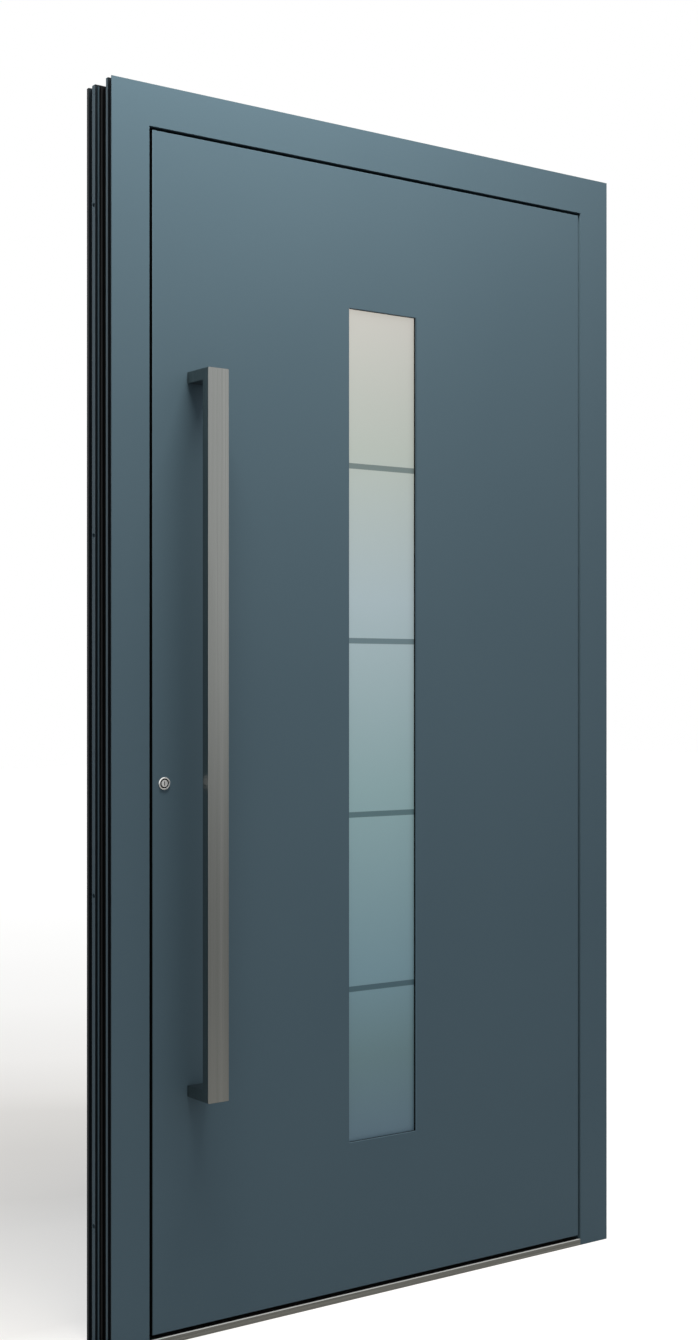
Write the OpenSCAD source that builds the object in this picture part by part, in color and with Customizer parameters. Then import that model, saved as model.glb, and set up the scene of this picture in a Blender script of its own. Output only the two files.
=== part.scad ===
// Inward-opening aluminium entrance door: a flush leaf with a narrow glass strip, in its frame.
// X runs to the right as seen from outside, Y runs from outside to inside, Z runs up.
// The origin lies on the floor line, midway along the threshold and midway through the frame's depth.
// Profiles are drawn as [across, depth]: across from the member's outer edge, depth from the front face.

/* [Frame] */
// Overall width of the frame
frame_w = 1100; // [950:10:1300]
// Overall height of the frame
frame_h = 2100; // [1950:10:2400]
// Depth of the frame, front face to inner face
frame_d = 88; // [84:1:110]
// Width of the frame's face seen from outside
frame_face_w = 70; // [66:1:90]
// Width of the frame's face seen from inside
frame_rebate_w = 48; // [44:1:50]
// Depth of the frame's outer aluminium profile
outer_shell_d = 20; // [18:1:22]
// Free length of the frame's insulating bars
bar_span = 24; // [20:1:26]
// Wall of the aluminium profiles
wall = 2; // [1.6:0.1:2.4]
// Shadow gap between frame and leaf, seen from outside
leaf_gap = 6; // [4.5:0.5:8]
// Gap between the leaf's edge and the frame's rebate
rebate_gap = 5; // [4.5:0.5:7]
// Space for the stop seal between the frame lip and the leaf
stop_gap = 6; // [5:0.5:8]
// Height of a wall anchor near the top and the bottom, from that end
anchor_end = 200; // [150:10:300]
// Spacing of the two middle wall anchors in a jamb
anchor_pitch = 600; // [400:10:700]
// Spacing of the wall anchors in the head
head_anchor_pitch = 600; // [300:10:700]
// Radius of a wall anchor hole
anchor_r = 4; // [3:0.25:5]

/* [Threshold] */
// Height of the threshold's nose
threshold_h = 12.5; // [12:0.5:18]
// Height of the threshold under the leaf
threshold_base_h = 6; // [5:0.5:8]
// Shadow gap between the threshold's nose and the leaf's face
threshold_gap = 7.5; // [5:0.5:10]
// Gap between the threshold and the leaf's lower edge
floor_gap = 3; // [2.5:0.5:4]
// Depth of the threshold's outer rail
threshold_outer_d = 30; // [26:1:34]
// Depth of the threshold's inner rail
threshold_inner_d = 28; // [22:1:32]

/* [Leaf] */
// Thickness of the aluminium skins
skin_t = 3; // [2:0.5:4]
// Width of the leaf's stiles and rails
stile_w = 70; // [68:1:90]
// Thickness of the flange behind the frame lip
flange_t = 10; // [9:1:12]

/* [Window] */
// Width of the window in the outer skin
window_w = 150; // [100:5:300]
// Height of the window's lower edge above the leaf face's lower edge
window_rise = 262; // [220:1:300]
// Distance of the window's upper edge from the leaf face's upper edge
window_drop = 248; // [220:1:400]
// How far the glass reaches behind the skin
glass_cover = 15; // [12:1:20]
// Room around the edge of the glass
glass_room = 5; // [3:1:8]
// Thickness of the outer glazing seal, which sets the glass back
seal_t = 4; // [3:0.5:6]
// Thickness of the outer, laminated pane
outer_pane_t = 8; // [6:1:10]
// Thickness of the middle pane
middle_pane_t = 4; // [3:1:6]
// Thickness of the inner pane
inner_pane_t = 6; // [4:1:8]
// Width of a glazing spacer
spacer_d = 14; // [10:1:15]
// Height of a glazing spacer's section
spacer_h = 7; // [5:1:9]
// Width of the inner trim's flange beyond the glass
trim_lap = 13; // [10:1:20]
// Thickness of the inner trim's sheet
trim_t = 2; // [1.5:0.5:3]

/* [Pull handle] */
// Width of the pull bar
pull_w = 40; // [30:1:50]
// Thickness of the pull bar
pull_t = 20; // [14:1:24]
// Free gap behind the pull bar
pull_reach = 50; // [40:1:70]
// Height of a post
post_h = 20; // [16:1:30]
// Distance of the pull bar from the leaf face's edge
pull_edge = 66; // [60:1:120]
// Height of the pull bar's lower end above the leaf face's lower edge
pull_rise = 388; // [250:1:450]
// Distance of the pull bar's upper end from the leaf face's upper edge
pull_drop = 396; // [300:1:900]
// Radius of the pull bar's edges
pull_edge_r = 1.2; // [0.6:0.2:2]
// Radius of the through bolts
bolt_r = 4; // [3:0.5:5]

/* [Lock] */
// Distance from the faceplate to the cylinder axis
backset = 45; // [42:0.5:46]
// Height of the cylinder axis above the floor
cylinder_z = 937; // [900:1:1000]
// Distance from the cylinder axis up to the lever's spindle
spindle_rise = 92; // [88:1:100]
// Thickness of the faceplate
faceplate_t = 3; // [2.5:0.5:3]
// Length of the faceplate above and below the auxiliary bolts
faceplate_end = 120; // [80:5:160]
// Distance from the cylinder axis down to the lower auxiliary bolt
lower_bolt_drop = 517; // [400:1:600]
// Distance from the leaf's upper edge down to the upper auxiliary bolt
upper_bolt_drop = 407; // [350:1:500]
// Thickness of the lock cases
case_t = 16; // [15:1:17]
// Throw of the deadbolt and the auxiliary bolts
bolt_throw = 20; // [14:1:20]
// Reach of the latch at rest
latch_reach = 12; // [9:1:13]
// Diameter of the ring round the cylinder
ring_dia = 22; // [21:0.5:26]
// Diameter of the plug
plug_dia = 12; // [10:0.5:12.5]

/* [Lever] */
// Diameter of the lever's bar
lever_dia = 19; // [16:1:20]
// Length of the lever from its axis
lever_len = 130; // [100:5:150]
// Distance of the lever's bar axis from the leaf
lever_reach = 52; // [46:1:60]
// Diameter of the roses
rose_dia = 55; // [54:1:60]
// Thickness of the roses
rose_t = 8; // [6:1:9]

/* [Hinges] */
// Diameter of the hinge barrel
barrel_dia = 22; // [20:1:24]
// Height of the hinge barrel
barrel_h = 120; // [100:2:140]
// Height of a knuckle on the frame
knuckle_h = 34; // [28:1:36]
// Diameter of the hinge pin
hinge_pin_dia = 12; // [10:0.5:12]
// Thickness of the hinge wings
wing_t = 6; // [5:0.5:7]
// Width of a hinge wing, from the gap between frame and leaf
wing_w = 38; // [34:1:42]
// Height of the lowest hinge's middle above the floor
lower_hinge_z = 250; // [200:10:300]
// Distance of the highest hinge's middle from the frame's upper edge
upper_hinge_drop = 300; // [250:10:350]

/* [Hidden] */
$fn = 48;

// Clearances
fit = 0.05;
slide = 0.3;
loose = 0.5;
eps = 1;

// Stations across the door, along Y and up
front = -frame_d / 2;
back = frame_d / 2;
lip_x = frame_w / 2 - frame_face_w;
rebate_x = frame_w / 2 - frame_rebate_w;
face_x = lip_x - leaf_gap;
edge_x = rebate_x - rebate_gap;
face_top = frame_h - frame_face_w - leaf_gap;
edge_top = frame_h - frame_rebate_w - rebate_gap;
face_bottom = threshold_h + threshold_gap;
edge_bottom = threshold_base_h + floor_gap;
frame_inner_d = outer_shell_d + bar_span;

// Insulating bars: a web with a foot at each end, held in T slots
bar_t = 2.5;
foot_w = 5.5;
foot_neck = 1.5;
foot_depth = 3.5;
slot_zone = 6;
foot_cover = 1.5;
outer_bar_inset = 9;
bar_set = foot_cover + (foot_w - bar_t) / 2;

// Steps on the wall side of the frame profiles
lip_t = 2;
groove_in = 4;
rib_from = 13;
neck_in = 6;
neck_d = 7;
rib_w = 11;
rib_place = 5 / 12;
wall_flange_w = 7;
flange_start = frame_d - frame_inner_d - wall_flange_w;
rib_mid = neck_d + rib_place * (flange_start - neck_d);
rib_start = rib_mid - rib_w / 2;
rib_end = rib_mid + rib_w / 2;

// Leaf stations in depth
flange_d = outer_shell_d + stop_gap;
leaf_outer_end = flange_d + flange_t;
plate_w = 24;
leaf_inner_start = leaf_outer_end + plate_w;
inner_skin_d = frame_d - skin_t;
lock_mid_d = (leaf_outer_end + leaf_inner_start) / 2;

// Seals
groove_w = 3;
groove_d = 3;
bulb_w = 9;
bulb_set = 4;
edge_seal_w = 8;
edge_seal_base = 1;
edge_seal_tip = 1;
edge_seal_room = 1;
sweep_room = 0.4;
edge_seal_d = (leaf_inner_start + inner_skin_d - edge_seal_w) / 2;

// Window stations
window_z0 = face_bottom + window_rise;
window_z1 = face_top - window_drop;
outer_pane_d = skin_t + seal_t;
middle_pane_d = outer_pane_d + outer_pane_t + spacer_d;
inner_pane_d = middle_pane_d + middle_pane_t + spacer_d;
glass_end_d = inner_pane_d + inner_pane_t;
inner_seal_t = 3;
trim_d = glass_end_d + inner_seal_t;
block_len = 60;
block_place = 35;

// Pull handle stations
pull_x = -face_x + pull_edge + pull_w / 2;
pull_z0 = face_bottom + pull_rise;
pull_z1 = face_top - pull_drop;
post_z = [pull_z0 + post_h / 2, pull_z1 - post_h / 2];
bolt_grip = 22;
bolt_head_r = 9;
bolt_head_t = 5;

// Lock stations
lock_x = -edge_x + backset;
spindle_z = cylinder_z + spindle_rise;
case_wall = 1.5;
case_depth = stile_w - bar_set - bar_t - faceplate_t - slide;
case_drop = 75;
case_rise = 61;
case_z0 = cylinder_z - case_drop;
case_z1 = spindle_z + case_rise;
aux_z = [cylinder_z - lower_bolt_drop, edge_top - upper_bolt_drop];
plate_z0 = aux_z[0] - faceplate_end;
plate_z1 = aux_z[1] + faceplate_end;
channel_w = case_t + 2;
ledge = 20;
aux_case_h = 80;
aux_case_depth = 42;
aux_bolt_r = 5;
aux_bolt_len = 30;
latch_t = 12;
latch_h = 26;
latch_len = 32;
latch_nose = 2;
latch_rise = 30;
latch_z = spindle_z + latch_rise;
deadbolt_t = 10;
deadbolt_h = 32;
deadbolt_len = 54;
deadbolt_rise = 38;
deadbolt_z = cylinder_z + deadbolt_rise;
bolt_set = 0.5;
rod_w = 8;
rod_t = 3;
rod_travel = 18;
rod_room = 2;

// Cylinder: a round barrel with a web below it inside the lock, round only at its nose
barrel_r = 8.5;
web_w = 10;
web_drop = 24.5;
nose_r = 8;
nose_depth = 3;
plug_proud = 4.5;
ring_proud = 3.5;
housing_proud = 1;
ring_edge_r = 1.2;
cam_w = 10;
cam_r = 15;
cam_nose_w = 8;
cam_room = 1;
keyway_w = 1.6;
keyway_h = 7;
keyway_d = 20;
knob_dia = 30;
knob_len = 18;
knob_grip = 14;
knob_base = 6;

// Lever
spindle_w = 8;
spindle_bore_r = 6.5;
lever_bend_r = 18;
lever_end_t = 2;
lever_set = 1;

// Hinges
hinge_x = rebate_x - rebate_gap / 2;
hinge_gap = 1.5;
hinge_y = back + hinge_gap + barrel_dia / 2;
hinge_set = 2;
knuckle_set = 1;
bush_wall = 2;
bush_flange_t = 1;
bush_flange_w = 2;
bush_len = 20;
pin_head_t = 3;
pin_head_w = 2.5;

// Strikes
strike_t = 2.5;
strike_end = 16;
pocket_side = 2;
pocket_end = 4;
aux_strike_h = 80;

coat = "#5b6f7b";
steel = "#a9aaa5";
alloy = "#b9bcbe";
plastic = "#22262a";
rubber = "#17191b";
foam = "#e5dfc8";
frost = "#c3d0d2";

// Building blocks

// A block given by its corners, with depths counted from the front face
module block(x0, x1, d0, d1, z0, z1) {
    translate([x0, front + d0, z0])
        cube([x1 - x0, d1 - d0, z1 - z0]);
}

// A rectangle given by its corners
module box2(u0, u1, d0, d1) {
    translate([u0, d0])
        square([u1 - u0, d1 - d0]);
}

// A flat ring of a given depth: an outer and an inner window, each grown from the window opening
module window_ring(grow_out, grow_in, d0, d1) {
    difference() {
        block(-window_w / 2 - grow_out, window_w / 2 + grow_out, d0, d1,
            window_z0 - grow_out, window_z1 + grow_out);
        window_hole(grow_in, d0 - eps, d1 + eps);
    }
}

// The window opening, grown on every side
module window_hole(grow, d0, d1) {
    block(-window_w / 2 - grow, window_w / 2 + grow, d0, d1, window_z0 - grow, window_z1 + grow);
}

// A round bar along Y at a point of the door
module bar_y(x, z, r, d0, d1) {
    translate([x, front + d0, z])
        rotate([-90, 0, 0])
            cylinder(r = r, h = d1 - d0);
}

// A round bar along X at a point of the door
module bar_x(x0, x1, d, z, r) {
    translate([x0, front + d, z])
        rotate([0, 90, 0])
            cylinder(r = r, h = x1 - x0);
}

// A rectangle with round corners
module round_rect(w, h, r) {
    square([w - 2 * r, h], center = true);
    square([w, h - 2 * r], center = true);
    for (x = [-1, 1], y = [-1, 1])
        translate([x * (w / 2 - r), y * (h / 2 - r)])
            circle(r = r);
}

// A mitre zone seen from the front, through the whole depth
module mitre_zone(points) {
    translate([0, back + eps, 0])
        rotate([90, 0, 0])
            linear_extrude(frame_d + 2 * eps)
                polygon(points);
}

// The zone of a left upright between a bottom and a top corner, mitred where asked
module upright_zone(x, z0, z1, w, mitred_bottom) {
    reach = w + eps;
    low = mitred_bottom ? eps : 0;
    mitre_zone([
        [-x - eps, z0 - low], [-x - eps, z1 + eps],
        [-x + reach, z1 - reach], [-x + reach, z0 + (mitred_bottom ? reach : 0)]
    ]);
}

// The zone of an upper cross member between two mitred corners
module cross_zone(x, z1, w) {
    reach = w + eps;
    mitre_zone([
        [-x - eps, z1 + eps], [x + eps, z1 + eps], [x - reach, z1 - reach], [-x + reach, z1 - reach]
    ]);
}

// Runs a profile up the left side of a rectangle
module upright(x, z0, z1) {
    translate([-x, front, z0])
        linear_extrude(z1 - z0)
            children();
}

// Runs a profile along the top of a rectangle
module cross(x, z1) {
    translate([-x, front, z1])
        rotate([0, 90, 0])
            linear_extrude(2 * x)
                children();
}

// Runs a profile along the bottom of a rectangle
module cross_low(x, z0) {
    translate([-x, front, z0])
        mirror([0, 0, 1])
            rotate([0, 90, 0])
                linear_extrude(2 * x)
                    children();
}

// Mirrors a piece of the lock side to the hinge side
module hinge_side() {
    mirror([1, 0, 0])
        children();
}

// Insulating bar between two profiles, with an allowance for its slot
module insulating_bar(u, d0, d1, grow) {
    mid = u + bar_t / 2;
    box2(u - grow, u + bar_t + grow, d0 - foot_depth - grow, d1 + foot_depth + grow);
    box2(mid - foot_w / 2 - grow, mid + foot_w / 2 + grow, d0 - foot_depth - grow, d0 - foot_neck + grow);
    box2(mid - foot_w / 2 - grow, mid + foot_w / 2 + grow, d1 + foot_neck - grow, d1 + foot_depth + grow);
}

// Frame profiles

module frame_bars(grow) {
    insulating_bar(outer_bar_inset, outer_shell_d, frame_inner_d, grow);
    insulating_bar(frame_rebate_w - bar_set - bar_t, outer_shell_d, frame_inner_d, grow);
}

// Place of the stop seal's foot across the frame lip
seal_u = (frame_face_w + frame_rebate_w + rebate_gap) / 2 - groove_w / 2;

module frame_outer_profile() {
    difference() {
        polygon([
            [0, 0], [frame_face_w, 0], [frame_face_w, outer_shell_d], [0, outer_shell_d],
            [0, rib_from], [groove_in, rib_from], [groove_in, lip_t], [0, lip_t]
        ]);
        box2(groove_in + wall, frame_face_w - wall, wall, outer_shell_d - slot_zone);
        frame_bars(fit);
        box2(seal_u - fit, seal_u + groove_w + fit, outer_shell_d - groove_d - fit, outer_shell_d + eps);
    }
}

module frame_inner_profile() {
    d = frame_inner_d;
    difference() {
        polygon([
            [neck_in, d], [frame_rebate_w, d], [frame_rebate_w, frame_d], [0, frame_d],
            [0, d + flange_start], [groove_in, d + flange_start], [groove_in, d + rib_end], [0, d + rib_end],
            [0, d + rib_start], [groove_in, d + rib_start], [groove_in, d + neck_d], [neck_in, d + neck_d]
        ]);
        box2(neck_in + wall, frame_rebate_w - wall, d + slot_zone, frame_d - wall);
        frame_bars(fit);
    }
}

// Wall anchor holes, midway through the rib that meets the wall
anchor_d = frame_inner_d + rib_mid;
anchor_z = [
    anchor_end, frame_h / 2 - anchor_pitch / 2, frame_h / 2 + anchor_pitch / 2, frame_h - anchor_end
];

module jamb_anchor_holes() {
    for (z = anchor_z)
        bar_x(-frame_w / 2 - eps, -rebate_x + eps, anchor_d, z, anchor_r);
}

module head_anchor_holes() {
    for (side = [-1, 1])
        translate([side * head_anchor_pitch / 2, front + anchor_d, frame_h - frame_rebate_w - eps])
            cylinder(r = anchor_r, h = frame_rebate_w + 2 * eps);
}

// Room that the latch and the bolts need in the lock jamb
module strike_pocket(reach, t, h, z) {
    block(-edge_x - reach - pocket_end, -rebate_x + eps, lock_mid_d - t / 2 - pocket_side,
        lock_mid_d + t / 2 + pocket_side, z - h / 2 - pocket_side, z + h / 2 + pocket_side);
}

module strike_pockets() {
    strike_pocket(latch_reach, latch_t, latch_h, latch_z);
    strike_pocket(bolt_throw, deadbolt_t, deadbolt_h, deadbolt_z);
    for (z = aux_z)
        strike_pocket(bolt_throw, 2 * aux_bolt_r, 2 * aux_bolt_r, z);
}

module jamb_shell() {
    intersection() {
        upright(frame_w / 2, 0, frame_h)
            children();
        upright_zone(frame_w / 2, 0, frame_h, frame_face_w, false);
    }
}

module head_shell() {
    intersection() {
        cross(frame_w / 2, frame_h)
            children();
        cross_zone(frame_w / 2, frame_h, frame_face_w);
    }
}

module frame_lock_jamb_outer() {
    color(coat)
        jamb_shell()
            frame_outer_profile();
}

module frame_lock_jamb_inner() {
    color(coat)
        difference() {
            jamb_shell()
                frame_inner_profile();
            jamb_anchor_holes();
            strike_pockets();
        }
}

module frame_hinge_jamb_outer() {
    color(coat)
        hinge_side()
            jamb_shell()
                frame_outer_profile();
}

module frame_hinge_jamb_inner() {
    color(coat)
        hinge_side()
            difference() {
                jamb_shell()
                    frame_inner_profile();
                jamb_anchor_holes();
            }
}

module frame_head_outer() {
    color(coat)
        head_shell()
            frame_outer_profile();
}

module frame_head_inner() {
    color(coat)
        difference() {
            head_shell()
                frame_inner_profile();
            head_anchor_holes();
        }
}

// The bars are sawn a little short of the mitre
module jamb_bars() {
    intersection() {
        upright(frame_w / 2, 0, frame_h)
            frame_bars(0);
        upright_zone(frame_w / 2, 0, frame_h - slide, frame_face_w, false);
    }
}

module frame_insulating_bars() {
    color(plastic) {
        difference() {
            jamb_bars();
            strike_pockets();
        }
        hinge_side()
            jamb_bars();
        head_shell()
            frame_bars(0);
    }
}

// Corner cleats fill the profile chambers on both sides of a mitre
cleat_leg = 130;

module corner_cleat(u0, u1, d0, d1) {
    corner = frame_w / 2;
    block(-corner + u0, -corner + u1, d0, d1, frame_h - cleat_leg, frame_h - u0);
    block(-corner + u0, -corner + cleat_leg, d0, d1, frame_h - u1, frame_h - u0);
}

module corner_cleat_pair() {
    corner_cleat(groove_in + wall + slide, frame_face_w - wall - slide,
        wall + slide, outer_shell_d - slot_zone - slide);
    corner_cleat(neck_in + wall + slide, frame_rebate_w - wall - slide,
        frame_inner_d + slot_zone + slide, frame_d - wall - slide);
}

module frame_corner_cleats() {
    color(alloy) {
        corner_cleat_pair();
        hinge_side()
            corner_cleat_pair();
    }
}

// Threshold

nose_chamfer = 1.5;
ramp_drop = 3;
core_end_d = frame_d - threshold_inner_d;

module threshold_run(x) {
    translate([-x, front, 0])
        rotate([90, 0, 90])
            linear_extrude(2 * x)
                children();
}

module threshold_outer_rail() {
    color(alloy) {
        threshold_run(lip_x)
            difference() {
                polygon([
                    [0, 0], [outer_shell_d, 0], [outer_shell_d, threshold_h],
                    [nose_chamfer, threshold_h], [0, threshold_h - nose_chamfer]
                ]);
                box2(wall, outer_shell_d - wall - groove_d, wall, threshold_h - wall - nose_chamfer);
                box2(outer_shell_d - groove_d - fit, outer_shell_d + eps,
                    threshold_seal_z - fit, threshold_seal_z + groove_w + fit);
            }
        threshold_run(rebate_x)
            box2(outer_shell_d, threshold_outer_d, 0, threshold_base_h);
    }
}

module threshold_insulating_core() {
    color(plastic)
        threshold_run(rebate_x)
            box2(threshold_outer_d, core_end_d, 0, threshold_base_h);
}

module threshold_inner_rail() {
    color(alloy)
        threshold_run(rebate_x)
            polygon([
                [core_end_d, 0], [frame_d, 0], [frame_d, threshold_base_h - ramp_drop],
                [frame_d - threshold_inner_d / 2, threshold_base_h], [core_end_d, threshold_base_h]
            ]);
}

// Stop seals: a foot in the lip's groove and a bulb towards the leaf

seal_slope = 1;
threshold_seal_rise = 2;
threshold_seal_z = threshold_base_h + threshold_seal_rise;
bulb_d = stop_gap - slide;

module stop_seal_profile() {
    mid = seal_u + groove_w / 2;
    box2(seal_u, seal_u + groove_w, outer_shell_d - groove_d, outer_shell_d + fit);
    polygon([
        [mid - bulb_w / 2, outer_shell_d], [mid + bulb_w / 2, outer_shell_d],
        [mid + bulb_set / 2, outer_shell_d + bulb_d], [mid - bulb_set / 2, outer_shell_d + bulb_d]
    ]);
}

module stop_seal_upright() {
    intersection() {
        upright(frame_w / 2, 0, frame_h)
            stop_seal_profile();
        upright_zone(frame_w / 2, threshold_base_h, frame_h, frame_face_w, false);
    }
}

module frame_stop_seals() {
    color(rubber) {
        stop_seal_upright();
        hinge_side()
            stop_seal_upright();
        head_shell()
            stop_seal_profile();
        threshold_run(lip_x) {
            box2(outer_shell_d - groove_d, outer_shell_d + fit,
                threshold_seal_z, threshold_seal_z + groove_w);
            polygon([
                [outer_shell_d, threshold_seal_z - seal_slope], [outer_shell_d + bulb_d, threshold_seal_z],
                [outer_shell_d + bulb_d, threshold_h - seal_slope], [outer_shell_d, threshold_h]
            ]);
        }
    }
}

// Strike plates on the lock jamb

module strike_plate(z0, z1) {
    block(-rebate_x, -rebate_x + strike_t, leaf_outer_end, leaf_inner_start, z0, z1);
}

module strike_plate_main() {
    color(steel)
        difference() {
            strike_plate(deadbolt_z - deadbolt_h / 2 - strike_end, latch_z + latch_h / 2 + strike_end);
            translate([strike_t + eps, 0, 0])
                strike_pockets();
        }
}

module strike_plates_auxiliary() {
    color(steel)
        for (z = aux_z)
            difference() {
                strike_plate(z - aux_strike_h / 2, z + aux_strike_h / 2);
                bar_x(-rebate_x - eps, -rebate_x + strike_t + eps, lock_mid_d, z, aux_bolt_r + pocket_side);
            }
}

// Hinges: a wing on the frame, a wing on the leaf, bushes and a pin on one axis

hinge_pitch = (frame_h - upper_hinge_drop - lower_hinge_z) / 2;
function hinge_z(i) = lower_hinge_z + i * hinge_pitch;
leaf_knuckle_h = barrel_h - 2 * knuckle_h - 2 * (bush_flange_t + slide);
bush_r = hinge_pin_dia / 2 + fit + bush_wall;

module hinge_bar(r, z0, z1) {
    translate([hinge_x, hinge_y, z0])
        cylinder(r = r, h = z1 - z0);
}

// A wing's plate between two heights, from its free edge to a given distance from the axis
module wing_plate(side, near, z0, z1) {
    x_far = hinge_x + side * (rebate_gap / 2 + wing_w);
    x_near = hinge_x + side * near;
    translate([min(x_far, x_near), back, z0])
        cube([abs(x_far - x_near), wing_t, z1 - z0]);
}

// A knuckle with the web that carries it
module knuckle(side, z0, z1) {
    hinge_bar(barrel_dia / 2, z0, z1);
    wing_plate(side, rebate_gap / 2 + knuckle_set, z0, z1);
}

module hinge_frame_wing(i) {
    z = hinge_z(i);
    color(steel)
        difference() {
            union() {
                wing_plate(1, barrel_dia / 2 + hinge_set, z - barrel_h / 2, z + barrel_h / 2);
                knuckle(1, z - barrel_h / 2, z - barrel_h / 2 + knuckle_h);
                knuckle(1, z + barrel_h / 2 - knuckle_h, z + barrel_h / 2);
            }
            hinge_bar(hinge_pin_dia / 2 + fit, z - barrel_h / 2 - eps, z + barrel_h / 2 + eps);
        }
}

module hinge_leaf_wing(i) {
    z = hinge_z(i);
    color(steel)
        difference() {
            union() {
                wing_plate(-1, barrel_dia / 2 + hinge_set, z - barrel_h / 2, z + barrel_h / 2);
                knuckle(-1, z - leaf_knuckle_h / 2, z + leaf_knuckle_h / 2);
            }
            hinge_bar(bush_r + fit, z - barrel_h / 2, z + barrel_h / 2);
        }
}

module hinge_lower_frame_wing() {
    hinge_frame_wing(0);
}

module hinge_middle_frame_wing() {
    hinge_frame_wing(1);
}

module hinge_upper_frame_wing() {
    hinge_frame_wing(2);
}

module hinge_lower_leaf_wing() {
    hinge_leaf_wing(0);
}

module hinge_middle_leaf_wing() {
    hinge_leaf_wing(1);
}

module hinge_upper_leaf_wing() {
    hinge_leaf_wing(2);
}

module hinge_pins() {
    color(steel)
        for (i = [0 : 2]) {
            top = hinge_z(i) + barrel_h / 2;
            hinge_bar(hinge_pin_dia / 2, top - barrel_h, top + fit);
            hinge_bar(hinge_pin_dia / 2 + pin_head_w, top, top + pin_head_t);
        }
}

module hinge_bush(side) {
    z0 = side * leaf_knuckle_h / 2;
    difference() {
        union() {
            hinge_bar(bush_r, min(z0, z0 - side * bush_len), max(z0, z0 - side * bush_len));
            hinge_bar(bush_r + bush_flange_w, min(z0, z0 + side * bush_flange_t),
                max(z0, z0 + side * bush_flange_t));
        }
        hinge_bar(hinge_pin_dia / 2 + fit, -barrel_h, barrel_h);
    }
}

module hinge_bushes() {
    color(plastic)
        for (i = [0 : 2], side = [-1, 1])
            translate([0, 0, hinge_z(i)])
                hinge_bush(side);
}

// Leaf

module pull_bolt_holes(d0, d1) {
    for (z = post_z)
        bar_y(pull_x, z, bolt_r + loose, d0, d1);
}

// The cylinder's outline: a round barrel with a web below it
module cylinder_outline(d0, d1, grow) {
    bar_y(lock_x, cylinder_z, barrel_r + grow, d0, d1);
    block(lock_x - web_w / 2 - grow, lock_x + web_w / 2 + grow, d0, d1,
        cylinder_z - web_drop - grow, cylinder_z);
}

module leaf_outer_skin() {
    color(coat)
        difference() {
            block(-face_x, face_x, 0, skin_t, face_bottom, face_top);
            window_hole(0, -eps, skin_t + eps);
            pull_bolt_holes(-eps, skin_t + eps);
            bar_y(lock_x, cylinder_z, nose_r + loose, -eps, skin_t + eps);
        }
}

module leaf_inner_skin() {
    color(coat)
        difference() {
            block(-edge_x, edge_x, inner_skin_d, frame_d, edge_bottom, edge_top);
            window_hole(glass_cover + slide, inner_skin_d - eps, frame_d + eps);
            pull_bolt_holes(inner_skin_d - eps, frame_d + eps);
            cylinder_outline(inner_skin_d - eps, frame_d + eps, loose);
            bar_y(lock_x, spindle_z, spindle_bore_r, inner_skin_d - eps, frame_d + eps);
        }
}

module leaf_core() {
    color(foam)
        difference() {
            block(-edge_x + stile_w, edge_x - stile_w, skin_t, inner_skin_d,
                edge_bottom + stile_w, edge_top - stile_w);
            window_hole(glass_cover + glass_room, skin_t - eps, inner_skin_d + eps);
            pull_bolt_holes(skin_t - eps, inner_skin_d + eps);
        }
}

module leaf_bars(grow) {
    insulating_bar(faceplate_t, leaf_outer_end, leaf_inner_start, grow);
    insulating_bar(stile_w - bar_set - bar_t, leaf_outer_end, leaf_inner_start, grow);
}

module leaf_outer_profile(rebate) {
    difference() {
        polygon([
            [rebate, skin_t], [stile_w, skin_t], [stile_w, leaf_outer_end], [0, leaf_outer_end],
            [0, flange_d], [rebate, flange_d]
        ]);
        box2(rebate + wall, stile_w - wall, skin_t + wall, leaf_outer_end - slot_zone);
        leaf_bars(fit);
    }
}

module leaf_inner_profile() {
    difference() {
        box2(0, stile_w, leaf_inner_start, inner_skin_d);
        box2(wall, stile_w - wall, leaf_inner_start + slot_zone, inner_skin_d - wall);
        leaf_bars(fit);
    }
}

side_rebate = edge_x - face_x;
low_rebate = face_bottom - edge_bottom;

module leaf_upright() {
    intersection() {
        upright(edge_x, edge_bottom, edge_top)
            children();
        upright_zone(edge_x, edge_bottom, edge_top, stile_w, true);
    }
}

module leaf_cross() {
    intersection() {
        cross(edge_x, edge_top)
            children();
        cross_zone(edge_x, edge_top, stile_w);
    }
}

module leaf_cross_low() {
    intersection() {
        cross_low(edge_x, edge_bottom)
            children();
        translate([0, 0, edge_bottom])
            mirror([0, 0, 1])
                cross_zone(edge_x, 0, stile_w);
    }
}

module leaf_lock_stile_outer() {
    color(coat)
        difference() {
            leaf_upright()
                leaf_outer_profile(side_rebate);
            bar_y(lock_x, cylinder_z, nose_r + loose, 0, leaf_outer_end);
            cylinder_outline(skin_t + wall, leaf_outer_end + eps, loose);
            pull_bolt_holes(0, leaf_outer_end + eps);
        }
}

module leaf_lock_stile_inner() {
    color(coat)
        difference() {
            leaf_upright()
                leaf_inner_profile();
            cylinder_outline(leaf_inner_start - eps, inner_skin_d + eps, loose);
            bar_y(lock_x, spindle_z, spindle_bore_r, leaf_inner_start - eps, inner_skin_d + eps);
            pull_bolt_holes(leaf_inner_start - eps, inner_skin_d + eps);
        }
}

module leaf_hinge_stile_outer() {
    color(coat)
        hinge_side()
            leaf_upright()
                leaf_outer_profile(side_rebate);
}

module leaf_hinge_stile_inner() {
    color(coat)
        hinge_side()
            leaf_upright()
                leaf_inner_profile();
}

module leaf_top_rail_outer() {
    color(coat)
        leaf_cross()
            leaf_outer_profile(side_rebate);
}

module leaf_top_rail_inner() {
    color(coat)
        leaf_cross()
            leaf_inner_profile();
}

// The bottom rail's lower rebate is smaller, so its ends are cut back behind the frame lips
module rail_end_cut() {
    block(-edge_x - eps, -face_x, 0, flange_d, 0, edge_bottom + stile_w);
}

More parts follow.
